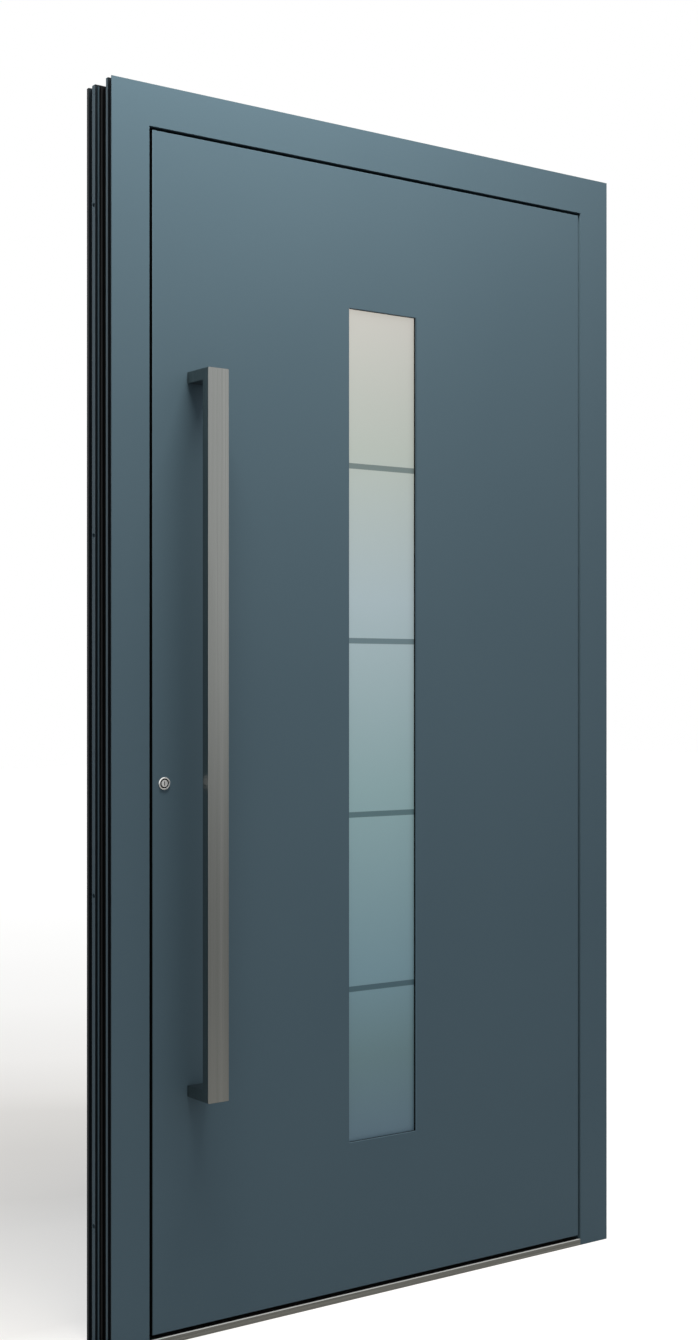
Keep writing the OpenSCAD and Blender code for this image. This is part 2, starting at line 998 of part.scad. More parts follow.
module leaf_bottom_rail_outer() {
    color(coat)
        difference() {
            leaf_cross_low()
                leaf_outer_profile(low_rebate);
            rail_end_cut();
            hinge_side()
                rail_end_cut();
        }
}

module leaf_bottom_rail_inner() {
    color(coat)
        leaf_cross_low()
            leaf_inner_profile();
}

// The lock channel is milled through the lock stile's edge bar, and the faceplate rests on its ledges
module lock_channel() {
    block(-edge_x - eps, -edge_x + stile_w / 2, lock_mid_d - channel_w / 2, lock_mid_d + channel_w / 2,
        plate_z0 + ledge, plate_z1 - ledge);
}

module stile_bars() {
    intersection() {
        upright(edge_x, edge_bottom, edge_top)
            leaf_bars(0);
        upright_zone(edge_x, edge_bottom + slide, edge_top - slide, stile_w, true);
    }
}

module leaf_insulating_bars() {
    color(plastic) {
        difference() {
            stile_bars();
            lock_channel();
        }
        hinge_side()
            stile_bars();
        leaf_cross()
            leaf_bars(0);
        leaf_cross_low()
            leaf_bars(0);
    }
}

// Edge seal: a lip on the leaf's edge that closes the rebate towards the inside
module edge_seal_profile(reach) {
    mid = edge_seal_d + edge_seal_w / 2;
    polygon([
        [0, edge_seal_d], [0, edge_seal_d + edge_seal_w], [-edge_seal_base, edge_seal_d + edge_seal_w],
        [-reach, mid + edge_seal_tip / 2], [-reach, mid - edge_seal_tip / 2], [-edge_seal_base, edge_seal_d]
    ]);
}

module leaf_edge_seals() {
    side_reach = rebate_gap - edge_seal_room;
    color(rubber) {
        upright(edge_x, edge_bottom, edge_top)
            edge_seal_profile(side_reach);
        hinge_side()
            upright(edge_x, edge_bottom, edge_top)
                edge_seal_profile(side_reach);
        cross(edge_x, edge_top)
            edge_seal_profile(side_reach);
        cross_low(edge_x, edge_bottom)
            edge_seal_profile(floor_gap - sweep_room);
    }
}

// Glazing

module pane(d0, t) {
    color(frost)
        window_hole(glass_cover, d0, d0 + t);
}

module glass_outer_pane() {
    pane(outer_pane_d, outer_pane_t);
}

module glass_middle_pane() {
    pane(middle_pane_d, middle_pane_t);
}

module glass_inner_pane() {
    pane(inner_pane_d, inner_pane_t);
}

module glass_spacers() {
    color(plastic)
        for (d = [outer_pane_d + outer_pane_t, middle_pane_d + middle_pane_t])
            window_ring(glass_cover, glass_cover - spacer_h, d, d + spacer_d);
}

module glazing_seals() {
    color(rubber) {
        window_ring(glass_cover, 0, skin_t, outer_pane_d);
        window_ring(glass_cover, 0, glass_end_d, trim_d);
    }
}

module setting_blocks() {
    low = window_z0 - glass_cover;
    color(plastic)
        for (side = [-1, 1])
            block(side * block_place - block_len / 2, side * block_place + block_len / 2,
                outer_pane_d, glass_end_d, low - glass_room, low);
}

module window_inner_trim() {
    color(coat)
        difference() {
            union() {
                window_ring(glass_cover, 0, trim_d, frame_d);
                window_ring(glass_cover + trim_lap, 0, frame_d, frame_d + trim_t);
            }
            window_ring(glass_cover + eps, trim_t, trim_d + trim_t, frame_d);
        }
}

// Pull handle

module pull_bar() {
    color(steel)
        translate([pull_x, front - pull_reach - pull_t / 2, pull_z0])
            linear_extrude(pull_z1 - pull_z0)
                round_rect(pull_w, pull_t, pull_edge_r);
}

module pull_post(z) {
    color(steel)
        difference() {
            translate([pull_x, front, z])
                rotate([90, 0, 0])
                    linear_extrude(pull_reach)
                        round_rect(pull_w, post_h, pull_edge_r);
            bar_y(pull_x, z, bolt_r + fit, -bolt_grip - eps, eps);
        }
}

module pull_posts() {
    for (z = post_z)
        pull_post(z);
}

module pull_bolts() {
    color(steel)
        for (z = post_z) {
            bar_y(pull_x, z, bolt_r, -bolt_grip, frame_d + fit);
            translate([pull_x, back, z])
                rotate([-90, 0, 0])
                    rotate_extrude()
                        polygon([
                            [0, 0], [bolt_head_r, 0], [bolt_head_r, bolt_head_t / 2],
                            [bolt_head_r - bolt_head_t / 2, bolt_head_t], [0, bolt_head_t]
                        ]);
        }
}

// Lock

module lock_faceplate() {
    color(steel)
        difference() {
            block(-edge_x, -edge_x + faceplate_t, leaf_outer_end + fit, leaf_inner_start - fit,
                plate_z0, plate_z1);
            bolt_window(latch_t, latch_h, latch_z);
            bolt_window(deadbolt_t, deadbolt_h, deadbolt_z);
            for (z = aux_z)
                bar_x(-edge_x - eps, -edge_x + faceplate_t + eps, lock_mid_d, z, aux_bolt_r + slide);
        }
}

module bolt_window(t, h, z) {
    block(-edge_x - eps, -edge_x + faceplate_t + eps, lock_mid_d - t / 2 - slide, lock_mid_d + t / 2 + slide,
        z - h / 2 - slide, z + h / 2 + slide);
}

// A sheet-metal case behind the faceplate, open towards it
module lock_case(depth, z0, z1) {
    x0 = -edge_x + faceplate_t;
    difference() {
        block(x0, x0 + depth, lock_mid_d - case_t / 2, lock_mid_d + case_t / 2, z0, z1);
        block(x0 - eps, x0 + depth - case_wall, lock_mid_d - case_t / 2 + case_wall,
            lock_mid_d + case_t / 2 - case_wall, z0 + case_wall, z1 - case_wall);
    }
}

module lock_main_case() {
    color(alloy)
        difference() {
            lock_case(case_depth, case_z0, case_z1);
            cylinder_outline(leaf_outer_end, leaf_inner_start, slide);
            bar_y(lock_x, spindle_z, spindle_bore_r, lock_mid_d, leaf_inner_start);
        }
}

module lock_auxiliary_cases() {
    color(alloy)
        for (z = aux_z)
            lock_case(aux_case_depth, z - aux_case_h / 2, z + aux_case_h / 2);
}

module latch_bolt() {
    half = latch_t / 2;
    tail = -edge_x + latch_len - latch_reach;
    tip = -edge_x - latch_reach;
    color(steel)
        translate([0, front + lock_mid_d, latch_z - latch_h / 2])
            linear_extrude(latch_h)
                polygon([
                    [tail, -half], [tail, half], [tip, half], [tip, half - latch_nose],
                    [tip + latch_t - latch_nose, -half]
                ]);
}

module deadbolt() {
    color(steel)
        block(-edge_x + bolt_set, -edge_x + bolt_set + deadbolt_len, lock_mid_d - deadbolt_t / 2,
            lock_mid_d + deadbolt_t / 2, deadbolt_z - deadbolt_h / 2, deadbolt_z + deadbolt_h / 2);
}

module auxiliary_bolts() {
    color(steel)
        for (z = aux_z)
            bar_x(-edge_x + bolt_set, -edge_x + bolt_set + aux_bolt_len, lock_mid_d, z, aux_bolt_r);
}

// Flat rods behind the faceplate carry the cylinder's turn to the auxiliary bolts
module drive_rod(z0, z1) {
    x0 = -edge_x + faceplate_t + slide;
    block(x0, x0 + rod_t, lock_mid_d - rod_w / 2, lock_mid_d + rod_w / 2, z0, z1);
}

module drive_rods() {
    color(steel) {
        drive_rod(aux_z[0] + aux_case_h / 2 + rod_room, case_z0 - rod_room - rod_travel);
        drive_rod(case_z1 + rod_room, aux_z[1] - aux_case_h / 2 - rod_room - rod_travel);
    }
}

// Cylinder

plug_r = plug_dia / 2;
cam_d0 = lock_mid_d - cam_w / 2;
cam_d1 = lock_mid_d + cam_w / 2;
housing_end_d = frame_d + rose_t + housing_proud;

module cylinder_housing() {
    color(steel)
        difference() {
            union() {
                bar_y(lock_x, cylinder_z, nose_r, nose_depth, skin_t + wall + loose);
                cylinder_outline(skin_t + wall + loose, housing_end_d, 0);
            }
            bar_y(lock_x, cylinder_z, plug_r + fit, nose_depth - eps, housing_end_d + eps);
            bar_y(lock_x, cylinder_z, cam_r + slide, cam_d0 - slide, cam_d1 + slide);
        }
}

module cylinder_outer_ring() {
    inner = nose_r + slide;
    outer = ring_dia / 2;
    color(steel)
        translate([lock_x, front, cylinder_z])
            rotate([90, 0, 0])
                rotate_extrude() {
                    difference() {
                        translate([inner, 0])
                            square([outer - inner, ring_proud]);
                        translate([outer - ring_edge_r, ring_proud - ring_edge_r])
                            square(ring_edge_r + eps);
                    }
                    translate([outer - ring_edge_r, ring_proud - ring_edge_r])
                        circle(r = ring_edge_r);
                }
}

module cylinder_plug() {
    color(steel)
        difference() {
            bar_y(lock_x, cylinder_z, plug_r, nose_depth - plug_proud, cam_d0);
            block(lock_x - keyway_w / 2, lock_x + keyway_w / 2, nose_depth - plug_proud - eps, keyway_d,
                cylinder_z - keyway_h / 2, cylinder_z + keyway_h / 2);
        }
}

module cylinder_thumbturn() {
    color(steel) {
        bar_y(lock_x, cylinder_z, barrel_r, cam_d0, cam_d1);
        block(lock_x - cam_nose_w / 2, lock_x + cam_nose_w / 2, cam_d0, cam_d1,
            cylinder_z, cylinder_z + cam_r - cam_room);
        bar_y(lock_x, cylinder_z, plug_r, cam_d1, housing_end_d + loose + eps);
        intersection() {
            bar_y(lock_x, cylinder_z, knob_dia / 2, housing_end_d + loose, housing_end_d + loose + knob_len);
            union() {
                bar_y(lock_x, cylinder_z, knob_dia / 2, housing_end_d, housing_end_d + loose + knob_base);
                block(lock_x - knob_grip / 2, lock_x + knob_grip / 2, housing_end_d,
                    housing_end_d + knob_len + eps, cylinder_z - knob_dia, cylinder_z + knob_dia);
            }
        }
    }
}

// Roses and lever

rose_edge_r = 2;

module rose(z) {
    translate([lock_x, back, z])
        rotate([-90, 0, 0])
            rotate_extrude() {
                square([rose_dia / 2, rose_t - rose_edge_r]);
                square([rose_dia / 2 - rose_edge_r, rose_t]);
                translate([rose_dia / 2 - rose_edge_r, rose_t - rose_edge_r])
                    circle(r = rose_edge_r);
            }
}

module cylinder_inner_rose() {
    color(steel)
        difference() {
            rose(cylinder_z);
            cylinder_outline(frame_d - eps, frame_d + rose_t + eps, slide);
        }
}

module lever_rose() {
    color(steel)
        difference() {
            rose(spindle_z);
            bar_y(lock_x, spindle_z, lever_dia / 2 + fit, frame_d - eps, frame_d + rose_t + eps);
        }
}

lever_start_d = frame_d + lever_set;
bend_d = frame_d + lever_reach - lever_bend_r;

module lever_handle() {
    r = lever_dia / 2;
    grip_x = lock_x + lever_bend_r;
    color(steel)
        difference() {
            union() {
                bar_y(lock_x, spindle_z, r, lever_start_d, bend_d);
                translate([grip_x, front + bend_d, spindle_z])
                    rotate([0, 0, 90])
                        rotate_extrude(angle = 90)
                            translate([lever_bend_r, 0])
                                circle(r = r);
                bar_x(grip_x, lock_x + lever_len - lever_end_t, frame_d + lever_reach, spindle_z, r);
                translate([lock_x + lever_len - lever_end_t, back + lever_reach, spindle_z])
                    rotate([0, 90, 0])
                        cylinder(r1 = r, r2 = r - lever_end_t, h = lever_end_t);
            }
            spindle_bar(lever_start_d - eps, lever_start_d + spindle_grip, spindle_w + 2 * fit);
        }
}

spindle_grip = 20;

module spindle_bar(d0, d1, w) {
    block(lock_x - w / 2, lock_x + w / 2, d0, d1, spindle_z - w / 2, spindle_z + w / 2);
}

module lever_spindle() {
    color(steel)
        spindle_bar(lock_mid_d - case_t / 2 + case_wall + loose,
            lever_start_d + spindle_grip - loose, spindle_w);
}

frame_lock_jamb_outer();
frame_lock_jamb_inner();
frame_hinge_jamb_outer();
frame_hinge_jamb_inner();
frame_head_outer();
frame_head_inner();
frame_insulating_bars();
frame_corner_cleats();
threshold_outer_rail();
threshold_insulating_core();
threshold_inner_rail();
frame_stop_seals();
strike_plate_main();
strike_plates_auxiliary();
hinge_lower_frame_wing();
hinge_middle_frame_wing();
hinge_upper_frame_wing();
hinge_pins();
leaf_outer_skin();
leaf_inner_skin();
leaf_core();
leaf_lock_stile_outer();
leaf_lock_stile_inner();
leaf_hinge_stile_outer();
leaf_hinge_stile_inner();
leaf_top_rail_outer();
leaf_top_rail_inner();
leaf_bottom_rail_outer();
leaf_bottom_rail_inner();
leaf_insulating_bars();
leaf_edge_seals();
glass_outer_pane();
glass_middle_pane();
glass_inner_pane();
glass_spacers();
glazing_seals();
setting_blocks();
window_inner_trim();
pull_bar();
pull_posts();
pull_bolts();
lock_faceplate();
lock_main_case();
lock_auxiliary_cases();
cylinder_housing();
cylinder_outer_ring();
cylinder_inner_rose();
lever_rose();
hinge_lower_leaf_wing();
hinge_middle_leaf_wing();
hinge_upper_leaf_wing();
hinge_bushes();
lever_handle();
lever_spindle();
latch_bolt();
cylinder_plug();
cylinder_thumbturn();
deadbolt();
auxiliary_bolts();
drive_rods();
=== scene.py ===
import math

import bmesh
import bpy
from mathutils import Matrix, Vector


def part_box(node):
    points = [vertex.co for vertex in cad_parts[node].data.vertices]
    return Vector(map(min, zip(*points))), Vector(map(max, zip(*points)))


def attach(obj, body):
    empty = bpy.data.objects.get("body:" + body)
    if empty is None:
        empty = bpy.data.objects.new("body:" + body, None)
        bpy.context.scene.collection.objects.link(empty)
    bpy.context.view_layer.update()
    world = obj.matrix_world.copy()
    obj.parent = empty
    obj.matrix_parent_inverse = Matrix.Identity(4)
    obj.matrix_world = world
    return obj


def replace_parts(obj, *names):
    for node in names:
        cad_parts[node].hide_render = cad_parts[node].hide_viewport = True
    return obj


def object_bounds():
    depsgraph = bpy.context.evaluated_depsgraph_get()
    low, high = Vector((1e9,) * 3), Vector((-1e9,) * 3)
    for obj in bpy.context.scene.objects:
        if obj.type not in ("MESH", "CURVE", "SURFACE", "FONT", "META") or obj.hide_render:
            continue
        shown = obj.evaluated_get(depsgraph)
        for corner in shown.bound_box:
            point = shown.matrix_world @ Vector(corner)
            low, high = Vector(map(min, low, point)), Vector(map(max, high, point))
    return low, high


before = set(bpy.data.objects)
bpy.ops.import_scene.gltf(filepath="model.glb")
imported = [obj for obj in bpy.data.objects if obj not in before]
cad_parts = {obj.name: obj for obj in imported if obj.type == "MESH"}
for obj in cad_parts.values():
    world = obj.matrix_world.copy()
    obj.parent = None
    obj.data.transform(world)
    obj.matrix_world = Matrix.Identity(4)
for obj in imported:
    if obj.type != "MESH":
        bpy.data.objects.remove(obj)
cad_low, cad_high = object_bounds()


# The view: a camera 1.1 m above the floor, to the left of the door and in front of it. It is level, so the
# door's uprights stay parallel, and a small shift frames the door in the picture of 698 x 1340 pixels.
PICTURE_W, PICTURE_H = 698, 1340
LENS_CENTRE_X, LENS_CENTRE_Y = 400.0, 686.0
FOCAL_PX = 1859.4
SENSOR_MM = 36.0
CAMERA_PLACE = (-1.9852, -2.7702, 1.0996)
CAMERA_TURN = 36.58
camera_data = bpy.data.cameras.new("camera")
camera_data.sensor_width = SENSOR_MM
camera_data.lens = FOCAL_PX / PICTURE_H * SENSOR_MM
camera_data.shift_x = (PICTURE_W / 2 - LENS_CENTRE_X) / PICTURE_H
camera_data.shift_y = (LENS_CENTRE_Y - PICTURE_H / 2) / PICTURE_H
camera = bpy.data.objects.new("camera", camera_data)
camera.location = CAMERA_PLACE
camera.rotation_euler = (math.radians(90), 0, -math.radians(CAMERA_TURN))
bpy.context.collection.objects.link(camera)
bpy.context.scene.camera = camera
bpy.context.scene.view_settings.view_transform = "Standard"


# The studio floor: a pale sheet under the door, which keeps its real shadow, under a lift to white that is
# painted
# shade and light: lowest round a spot behind the door, which paints the shadow there darker, fading slowly to
# the white of the surround, and white at once in front of the door and past its hinge side, which washes out
# the shade there.
FLOOR_SIZE = 40.0
FLOOR_DROP = 0.0005
SHADOW_X, SHADOW_Y = -0.075, 1.29
WHITE_FROM = 6.0
WHITE_LIFT = 0.75
PAINTED_SHADOW_LIFT = 0.25
# How far the floor is lifted at parts of the way from the painted shadow's middle to the white
FADE = ((0.07, 0.28), (0.108, 0.365), (0.183, 0.465), (0.35, 0.58), (0.56, 0.65))
# The sides painted white over their shade: a direction over the floor, and where the rise along it starts and
# ends
PAST_HINGES = ((1, -0.35, 0), 0.1, 0.6)
IN_FRONT = ((0, -1, 0), -0.6, 0.1)

shape = bmesh.new()
bmesh.ops.create_grid(shape, x_segments=1, y_segments=1, size=FLOOR_SIZE / 2)
bmesh.ops.translate(shape, verts=shape.verts, vec=(0, 0, -FLOOR_DROP))
floor_mesh = bpy.data.meshes.new("floor")
shape.to_mesh(floor_mesh)
shape.free()
floor = bpy.data.objects.new("floor", floor_mesh)
bpy.context.collection.objects.link(floor)

floor_paint = bpy.data.materials.new("pale_floor")
floor_paint.use_nodes = True
floor_mesh.materials.append(floor_paint)
tree = floor_paint.node_tree
shader = tree.nodes["Principled BSDF"]
shader.inputs["Base Color"].default_value = (0.41, 0.412, 0.408, 1)
shader.inputs["Roughness"].default_value = 0.9
shader.inputs["Specular IOR Level"].default_value = 0.1
shader.inputs["Emission Color"].default_value = (1, 1, 1, 1)
place = tree.nodes.new("ShaderNodeTexCoord")
around_painted_shadow = tree.nodes.new("ShaderNodeMapping")
around_painted_shadow.inputs["Location"].default_value = (-SHADOW_X, -SHADOW_Y, 0)
tree.links.new(place.outputs["Object"], around_painted_shadow.inputs["Vector"])
distance = tree.nodes.new("ShaderNodeVectorMath")
distance.operation = "LENGTH"
tree.links.new(around_painted_shadow.outputs["Vector"], distance.inputs[0])
part_way = tree.nodes.new("ShaderNodeMath")
part_way.operation = "DIVIDE"
part_way.inputs[1].default_value = WHITE_FROM
tree.links.new(distance.outputs["Value"], part_way.inputs[0])
# Painted shadow: the lift is lowest round the shadow's middle behind the door and rises towards the white
white_out = tree.nodes.new("ShaderNodeValToRGB")
stops = white_out.color_ramp.elements
stops[0].color = (PAINTED_SHADOW_LIFT, PAINTED_SHADOW_LIFT, PAINTED_SHADOW_LIFT, 1)
stops[1].color = (WHITE_LIFT, WHITE_LIFT, WHITE_LIFT, 1)
for way, amount in FADE:
    stops.new(way).color = (amount, amount, amount, 1)
tree.links.new(part_way.outputs[0], white_out.inputs["Fac"])
white = white_out.outputs["Color"]
# Painted light: in front of the door and past its hinges the lift rises to white over any shade
for direction, start, end in (PAST_HINGES, IN_FRONT):
    reach = tree.nodes.new("ShaderNodeVectorMath")
    reach.operation = "DOT_PRODUCT"
    reach.inputs[1].default_value = direction
    tree.links.new(place.outputs["Object"], reach.inputs[0])
    rise = tree.nodes.new("ShaderNodeMapRange")
    rise.inputs["From Min"].default_value = start
    rise.inputs["From Max"].default_value = end
    rise.inputs["To Max"].default_value = WHITE_LIFT
    tree.links.new(reach.outputs["Value"], rise.inputs["Value"])
    higher = tree.nodes.new("ShaderNodeMath")
    higher.operation = "MAXIMUM"
    tree.links.new(white, higher.inputs[0])
    tree.links.new(rise.outputs[0], higher.inputs[1])
    white = higher.outputs[0]
rays = tree.nodes.new("ShaderNodeLightPath")
seen = tree.nodes.new("ShaderNodeMath")
seen.operation = "MAXIMUM"
tree.links.new(rays.outputs["Is Camera Ray"], seen.inputs[0])
tree.links.new(rays.outputs["Is Transmission Ray"], seen.inputs[1])
lift = tree.nodes.new("ShaderNodeMath")
lift.operation = "MULTIPLY"
tree.links.new(seen.outputs[0], lift.inputs[0])
tree.links.new(white, lift.inputs[1])
tree.links.new(lift.outputs[0], shader.inputs["Emission Strength"])


# The studio light: a surround that is white to the camera and to glass, and to metal from above, and that
# lights the door softly from above and from the room, with one wide warm lamp over the door.
surround = bpy.data.worlds.new("surround")
surround.use_nodes = True
bpy.context.scene.world = surround
tree = surround.node_tree
place = tree.nodes.new("ShaderNodeTexCoord")
heading = tree.nodes.new("ShaderNodeSeparateXYZ")
tree.links.new(place.outputs["Generated"], heading.inputs[0])


def graded(axis, start, end, low, high):
    band = tree.nodes.new("ShaderNodeMapRange")
    band.inputs["From Min"].default_value = start
    band.inputs["From Max"].default_value = end
    band.inputs["To Min"].default_value = low
    band.inputs["To Max"].default_value = high
    tree.links.new(heading.outputs[axis], band.inputs["Value"])
    return band.outputs[0]


def switched(ray, level, other=None):
    step = tree.nodes.new("ShaderNodeMix")
    step.inputs["B"].default_value = 1.0
    tree.links.new(ray, step.inputs["Factor"])
    tree.links.new(level, step.inputs["A"])
    if other:
        tree.links.new(other, step.inputs["B"])
    return step.outputs[0]


soft_light = tree.nodes.new("ShaderNodeMath")
tree.links.new(graded("Z", start=0.0, end=1.0, low=0.18, high=0.80), soft_light.inputs[0])
tree.links.new(graded("Y", start=0.1, end=0.9, low=0.0, high=0.40), soft_light.inputs[1])
sided = tree.nodes.new("ShaderNodeMath")
sided.operation = "MULTIPLY"
tree.links.new(soft_light.outputs[0], sided.inputs[0])
tree.links.new(graded("X", start=-0.8, end=0.4, low=0.22, high=1.4), sided.inputs[1])
rays = tree.nodes.new("ShaderNodeLightPath")
reflected = tree.nodes.new("ShaderNodeMath")
reflected.use_clamp = True
tree.links.new(graded("Z", start=-0.25, end=0.13, low=0.36, high=1.0), reflected.inputs[0])
tree.links.new(graded("X", start=-0.4, end=-0.8, low=0.0, high=0.5), reflected.inputs[1])
level = switched(rays.outputs["Is Glossy Ray"], sided.outputs[0], reflected.outputs[0])
level = switched(rays.outputs["Is Camera Ray"], level)
level = switched(rays.outputs["Is Transmission Ray"], level)
backdrop = tree.nodes["Background"]
backdrop.inputs["Color"].default_value = (1, 1, 1, 1)
tree.links.new(level, backdrop.inputs["Strength"])

LAMP_PLACE = Vector((-0.45, -0.62, 3.3))
LAMP_AIM = Vector((-0.45, -0.1, 1.2))
LAMP_W, LAMP_H = 1.3, 0.5
LAMP_WATTS = 87
LAMP_COLOUR = (1.0, 0.905, 0.805)
lamp_data = bpy.data.lights.new("lamp_over_door", "AREA")
lamp_data.shape = "RECTANGLE"
lamp_data.size = LAMP_W
lamp_data.size_y = LAMP_H
lamp_data.energy = LAMP_WATTS
lamp_data.color = LAMP_COLOUR
lamp = bpy.data.objects.new("lamp_over_door", lamp_data)
lamp.location = LAMP_PLACE
lamp.rotation_euler = (LAMP_AIM - LAMP_PLACE).to_track_quat("-Z", "Y").to_euler()
lamp.visible_camera = False
lamp.visible_glossy = False
bpy.context.collection.objects.link(lamp)


# Frame profiles: extruded aluminium, sawn to a mitre, cleated and crimped, with a satin blue-grey
# powder coat. Shade is painted into the coat: near black in its grooves on the wall side, and black across
# the insulating break.
GROOVE_DEPTH = 0.0055
PAINTED_GROOVE_SHADE = ((-0.0420, -0.0302), (0.0130, 0.0145), (0.0252, 0.0435))
BREAK_START, BREAK_END = -0.0238, 0.0072
COAT_LIGHT, COAT_DARK = (0.079, 0.131, 0.170), (0.069, 0.118, 0.156)
PAINTED_GROOVE_SHADE_COLOUR = (0.008, 0.012, 0.016)
PAINTED_BREAK_SHADE = (0.003, 0.0033, 0.004)


def new_finish(name, colour, roughness, metallic=0.0):
    paint = bpy.data.materials.new(name)
    paint.use_nodes = True
    shader = paint.node_tree.nodes["Principled BSDF"]
    shader.inputs["Base Color"].default_value = (*colour, 1)
    shader.inputs["Roughness"].default_value = roughness
    shader.inputs["Metallic"].default_value = metallic
    return paint, paint.node_tree, shader


def dress(paint, *names):
    for name in names:
        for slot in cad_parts[name].material_slots:
            slot.material = paint


def new_group(name, inputs, outputs):
    group = bpy.data.node_groups.new(name, "ShaderNodeTree")
    for socket, kind, value in inputs:
        group.interface.new_socket(socket, in_out="INPUT", socket_type=kind).default_value = value
    for socket, kind in outputs:
        group.interface.new_socket(socket, in_out="OUTPUT", socket_type=kind)
    return group, group.nodes.new("NodeGroupInput"), group.nodes.new("NodeGroupOutput")


coat_grain, entry, result = new_group(
    "coat_grain",
    [("Grain Scale", "NodeSocketFloat", 900.0), ("Cloud Scale", "NodeSocketFloat", 2.5)],
    [("Grain", "NodeSocketFloat"), ("Cloud", "NodeSocketFloat")],
)
place = coat_grain.nodes.new("ShaderNodeTexCoord")
grain = coat_grain.nodes.new("ShaderNodeTexNoise")
grain.inputs["Detail"].default_value = 3.0
grain.inputs["Roughness"].default_value = 0.6
cloud = coat_grain.nodes.new("ShaderNodeTexNoise")
cloud.inputs["Detail"].default_value = 2.0
coat_grain.links.new(place.outputs["Object"], grain.inputs["Vector"])
coat_grain.links.new(place.outputs["Object"], cloud.inputs["Vector"])
coat_grain.links.new(entry.outputs["Grain Scale"], grain.inputs["Scale"])
coat_grain.links.new(entry.outputs["Cloud Scale"], cloud.inputs["Scale"])
coat_grain.links.new(grain.outputs["Fac"], result.inputs["Grain"])
coat_grain.links.new(cloud.outputs["Fac"], result.inputs["Cloud"])


def grained(name, light, dark, roughness, spread, bump, grain_scale, cloud_scale, sheen):
    paint, tree, shader = new_finish(name, light, roughness)
    shader.inputs["Specular IOR Level"].default_value = sheen
    texture = tree.nodes.new("ShaderNodeGroup")
    texture.node_tree = coat_grain
    texture.inputs["Grain Scale"].default_value = grain_scale
    texture.inputs["Cloud Scale"].default_value = cloud_scale
    tone = tree.nodes.new("ShaderNodeMix")
    tone.data_type = "RGBA"
    tone.inputs["A"].default_value = (*dark, 1)
    tone.inputs["B"].default_value = (*light, 1)
    tree.links.new(texture.outputs["Cloud"], tone.inputs["Factor"])
    tree.links.new(tone.outputs["Result"], shader.inputs["Base Color"])
    gloss = tree.nodes.new("ShaderNodeMapRange")
    gloss.inputs["To Min"].default_value = roughness - spread
    gloss.inputs["To Max"].default_value = roughness + spread
    tree.links.new(texture.outputs["Grain"], gloss.inputs["Value"])
    tree.links.new(gloss.outputs[0], shader.inputs["Roughness"])
    relief = tree.nodes.new("ShaderNodeBump")
    relief.inputs["Strength"].default_value = bump
    relief.inputs["Distance"].default_value = 0.0002
    tree.links.new(texture.outputs["Grain"], relief.inputs["Height"])
    tree.links.new(relief.outputs["Normal"], shader.inputs["Normal"])
    return paint


def add_math(tree, operation, first, second, third=0.0):
    step = tree.nodes.new("ShaderNodeMath")
    step.operation = operation
    for socket, value in zip(step.inputs, (first, second, third)):
        if isinstance(value, float):
            socket.default_value = value
        else:
            tree.links.new(value, socket)
    return step.outputs[0]


def in_range(tree, value, low, high):
    return add_math(tree, "COMPARE", value, (low + high) / 2, (high - low) / 2)


def add_zone(paint, mask, colour):
    tree = paint.node_tree
    shader = tree.nodes["Principled BSDF"]
    zone = tree.nodes.new("ShaderNodeMix")
    zone.data_type = "RGBA"
    zone.inputs["B"].default_value = (*colour, 1)
    tree.links.new(mask, zone.inputs["Factor"])
    tree.links.new(shader.inputs["Base Color"].links[0].from_socket, zone.inputs["A"])
    tree.links.new(zone.outputs["Result"], shader.inputs["Base Color"])


def object_place(paint):
    tree = paint.node_tree
    split = tree.nodes.new("ShaderNodeSeparateXYZ")
    tree.links.new(tree.nodes.new("ShaderNodeTexCoord").outputs["Object"], split.inputs[0])
    return split.outputs


frame_coat = grained(
    "frame_coat", COAT_LIGHT, COAT_DARK, roughness=0.48, spread=0.05, bump=0.25, grain_scale=900,
    cloud_scale=2.5, sheen=0.15,
)
tree = frame_coat.node_tree
place = object_place(frame_coat)
wall_side = cad_high.x - GROOVE_DEPTH
wall_top = cad_high.z - GROOVE_DEPTH
to_wall = add_math(
    tree, "MAXIMUM",
    add_math(tree, "GREATER_THAN", add_math(tree, "ABSOLUTE", place["X"], 0.0), wall_side),
    add_math(tree, "GREATER_THAN", place["Z"], wall_top),
)
# Painted shade: bands of the wall side darkened to near black
for low, high in PAINTED_GROOVE_SHADE:
    mask = add_math(tree, "MULTIPLY", in_range(tree, place["Y"], low, high), to_wall)
    add_zone(frame_coat, mask, PAINTED_GROOVE_SHADE_COLOUR)
# Painted shade: the coat across the insulating break painted black
add_zone(frame_coat, in_range(tree, place["Y"], BREAK_START, BREAK_END), PAINTED_BREAK_SHADE)
dress(
    frame_coat,
    "frame_lock_jamb_outer", "frame_lock_jamb_inner", "frame_hinge_jamb_outer", "frame_hinge_jamb_inner",
    "frame_head_outer", "frame_head_inner",
)


# Insulating bars, spacers, setting blocks and hinge bushes: black glass-filled polyamide, matt and
# slightly speckled. The bars are rolled into the profiles' slots.
polyamide = grained(
    "black_polyamide", (0.006, 0.0065, 0.0075), (0.004, 0.0045, 0.005), roughness=0.7, spread=0.08, bump=0.2,
    grain_scale=1400, cloud_scale=30, sheen=0.01,
)
dress(
    polyamide,
    "frame_insulating_bars", "leaf_insulating_bars", "threshold_insulating_core", "glass_spacers",
    "setting_blocks", "hinge_bushes",
)


# Seals: extruded black rubber, matt and a little dusty, pressed into grooves of the frame, round the leaf's
# edge and round the glass.
seal_rubber = grained(
    "black_rubber", (0.011, 0.012, 0.013), (0.006, 0.0065, 0.007), roughness=0.72, spread=0.06, bump=0.3,
    grain_scale=1800, cloud_scale=40, sheen=0.03,
)
dress(seal_rubber, "frame_stop_seals", "leaf_edge_seals", "glazing_seals")
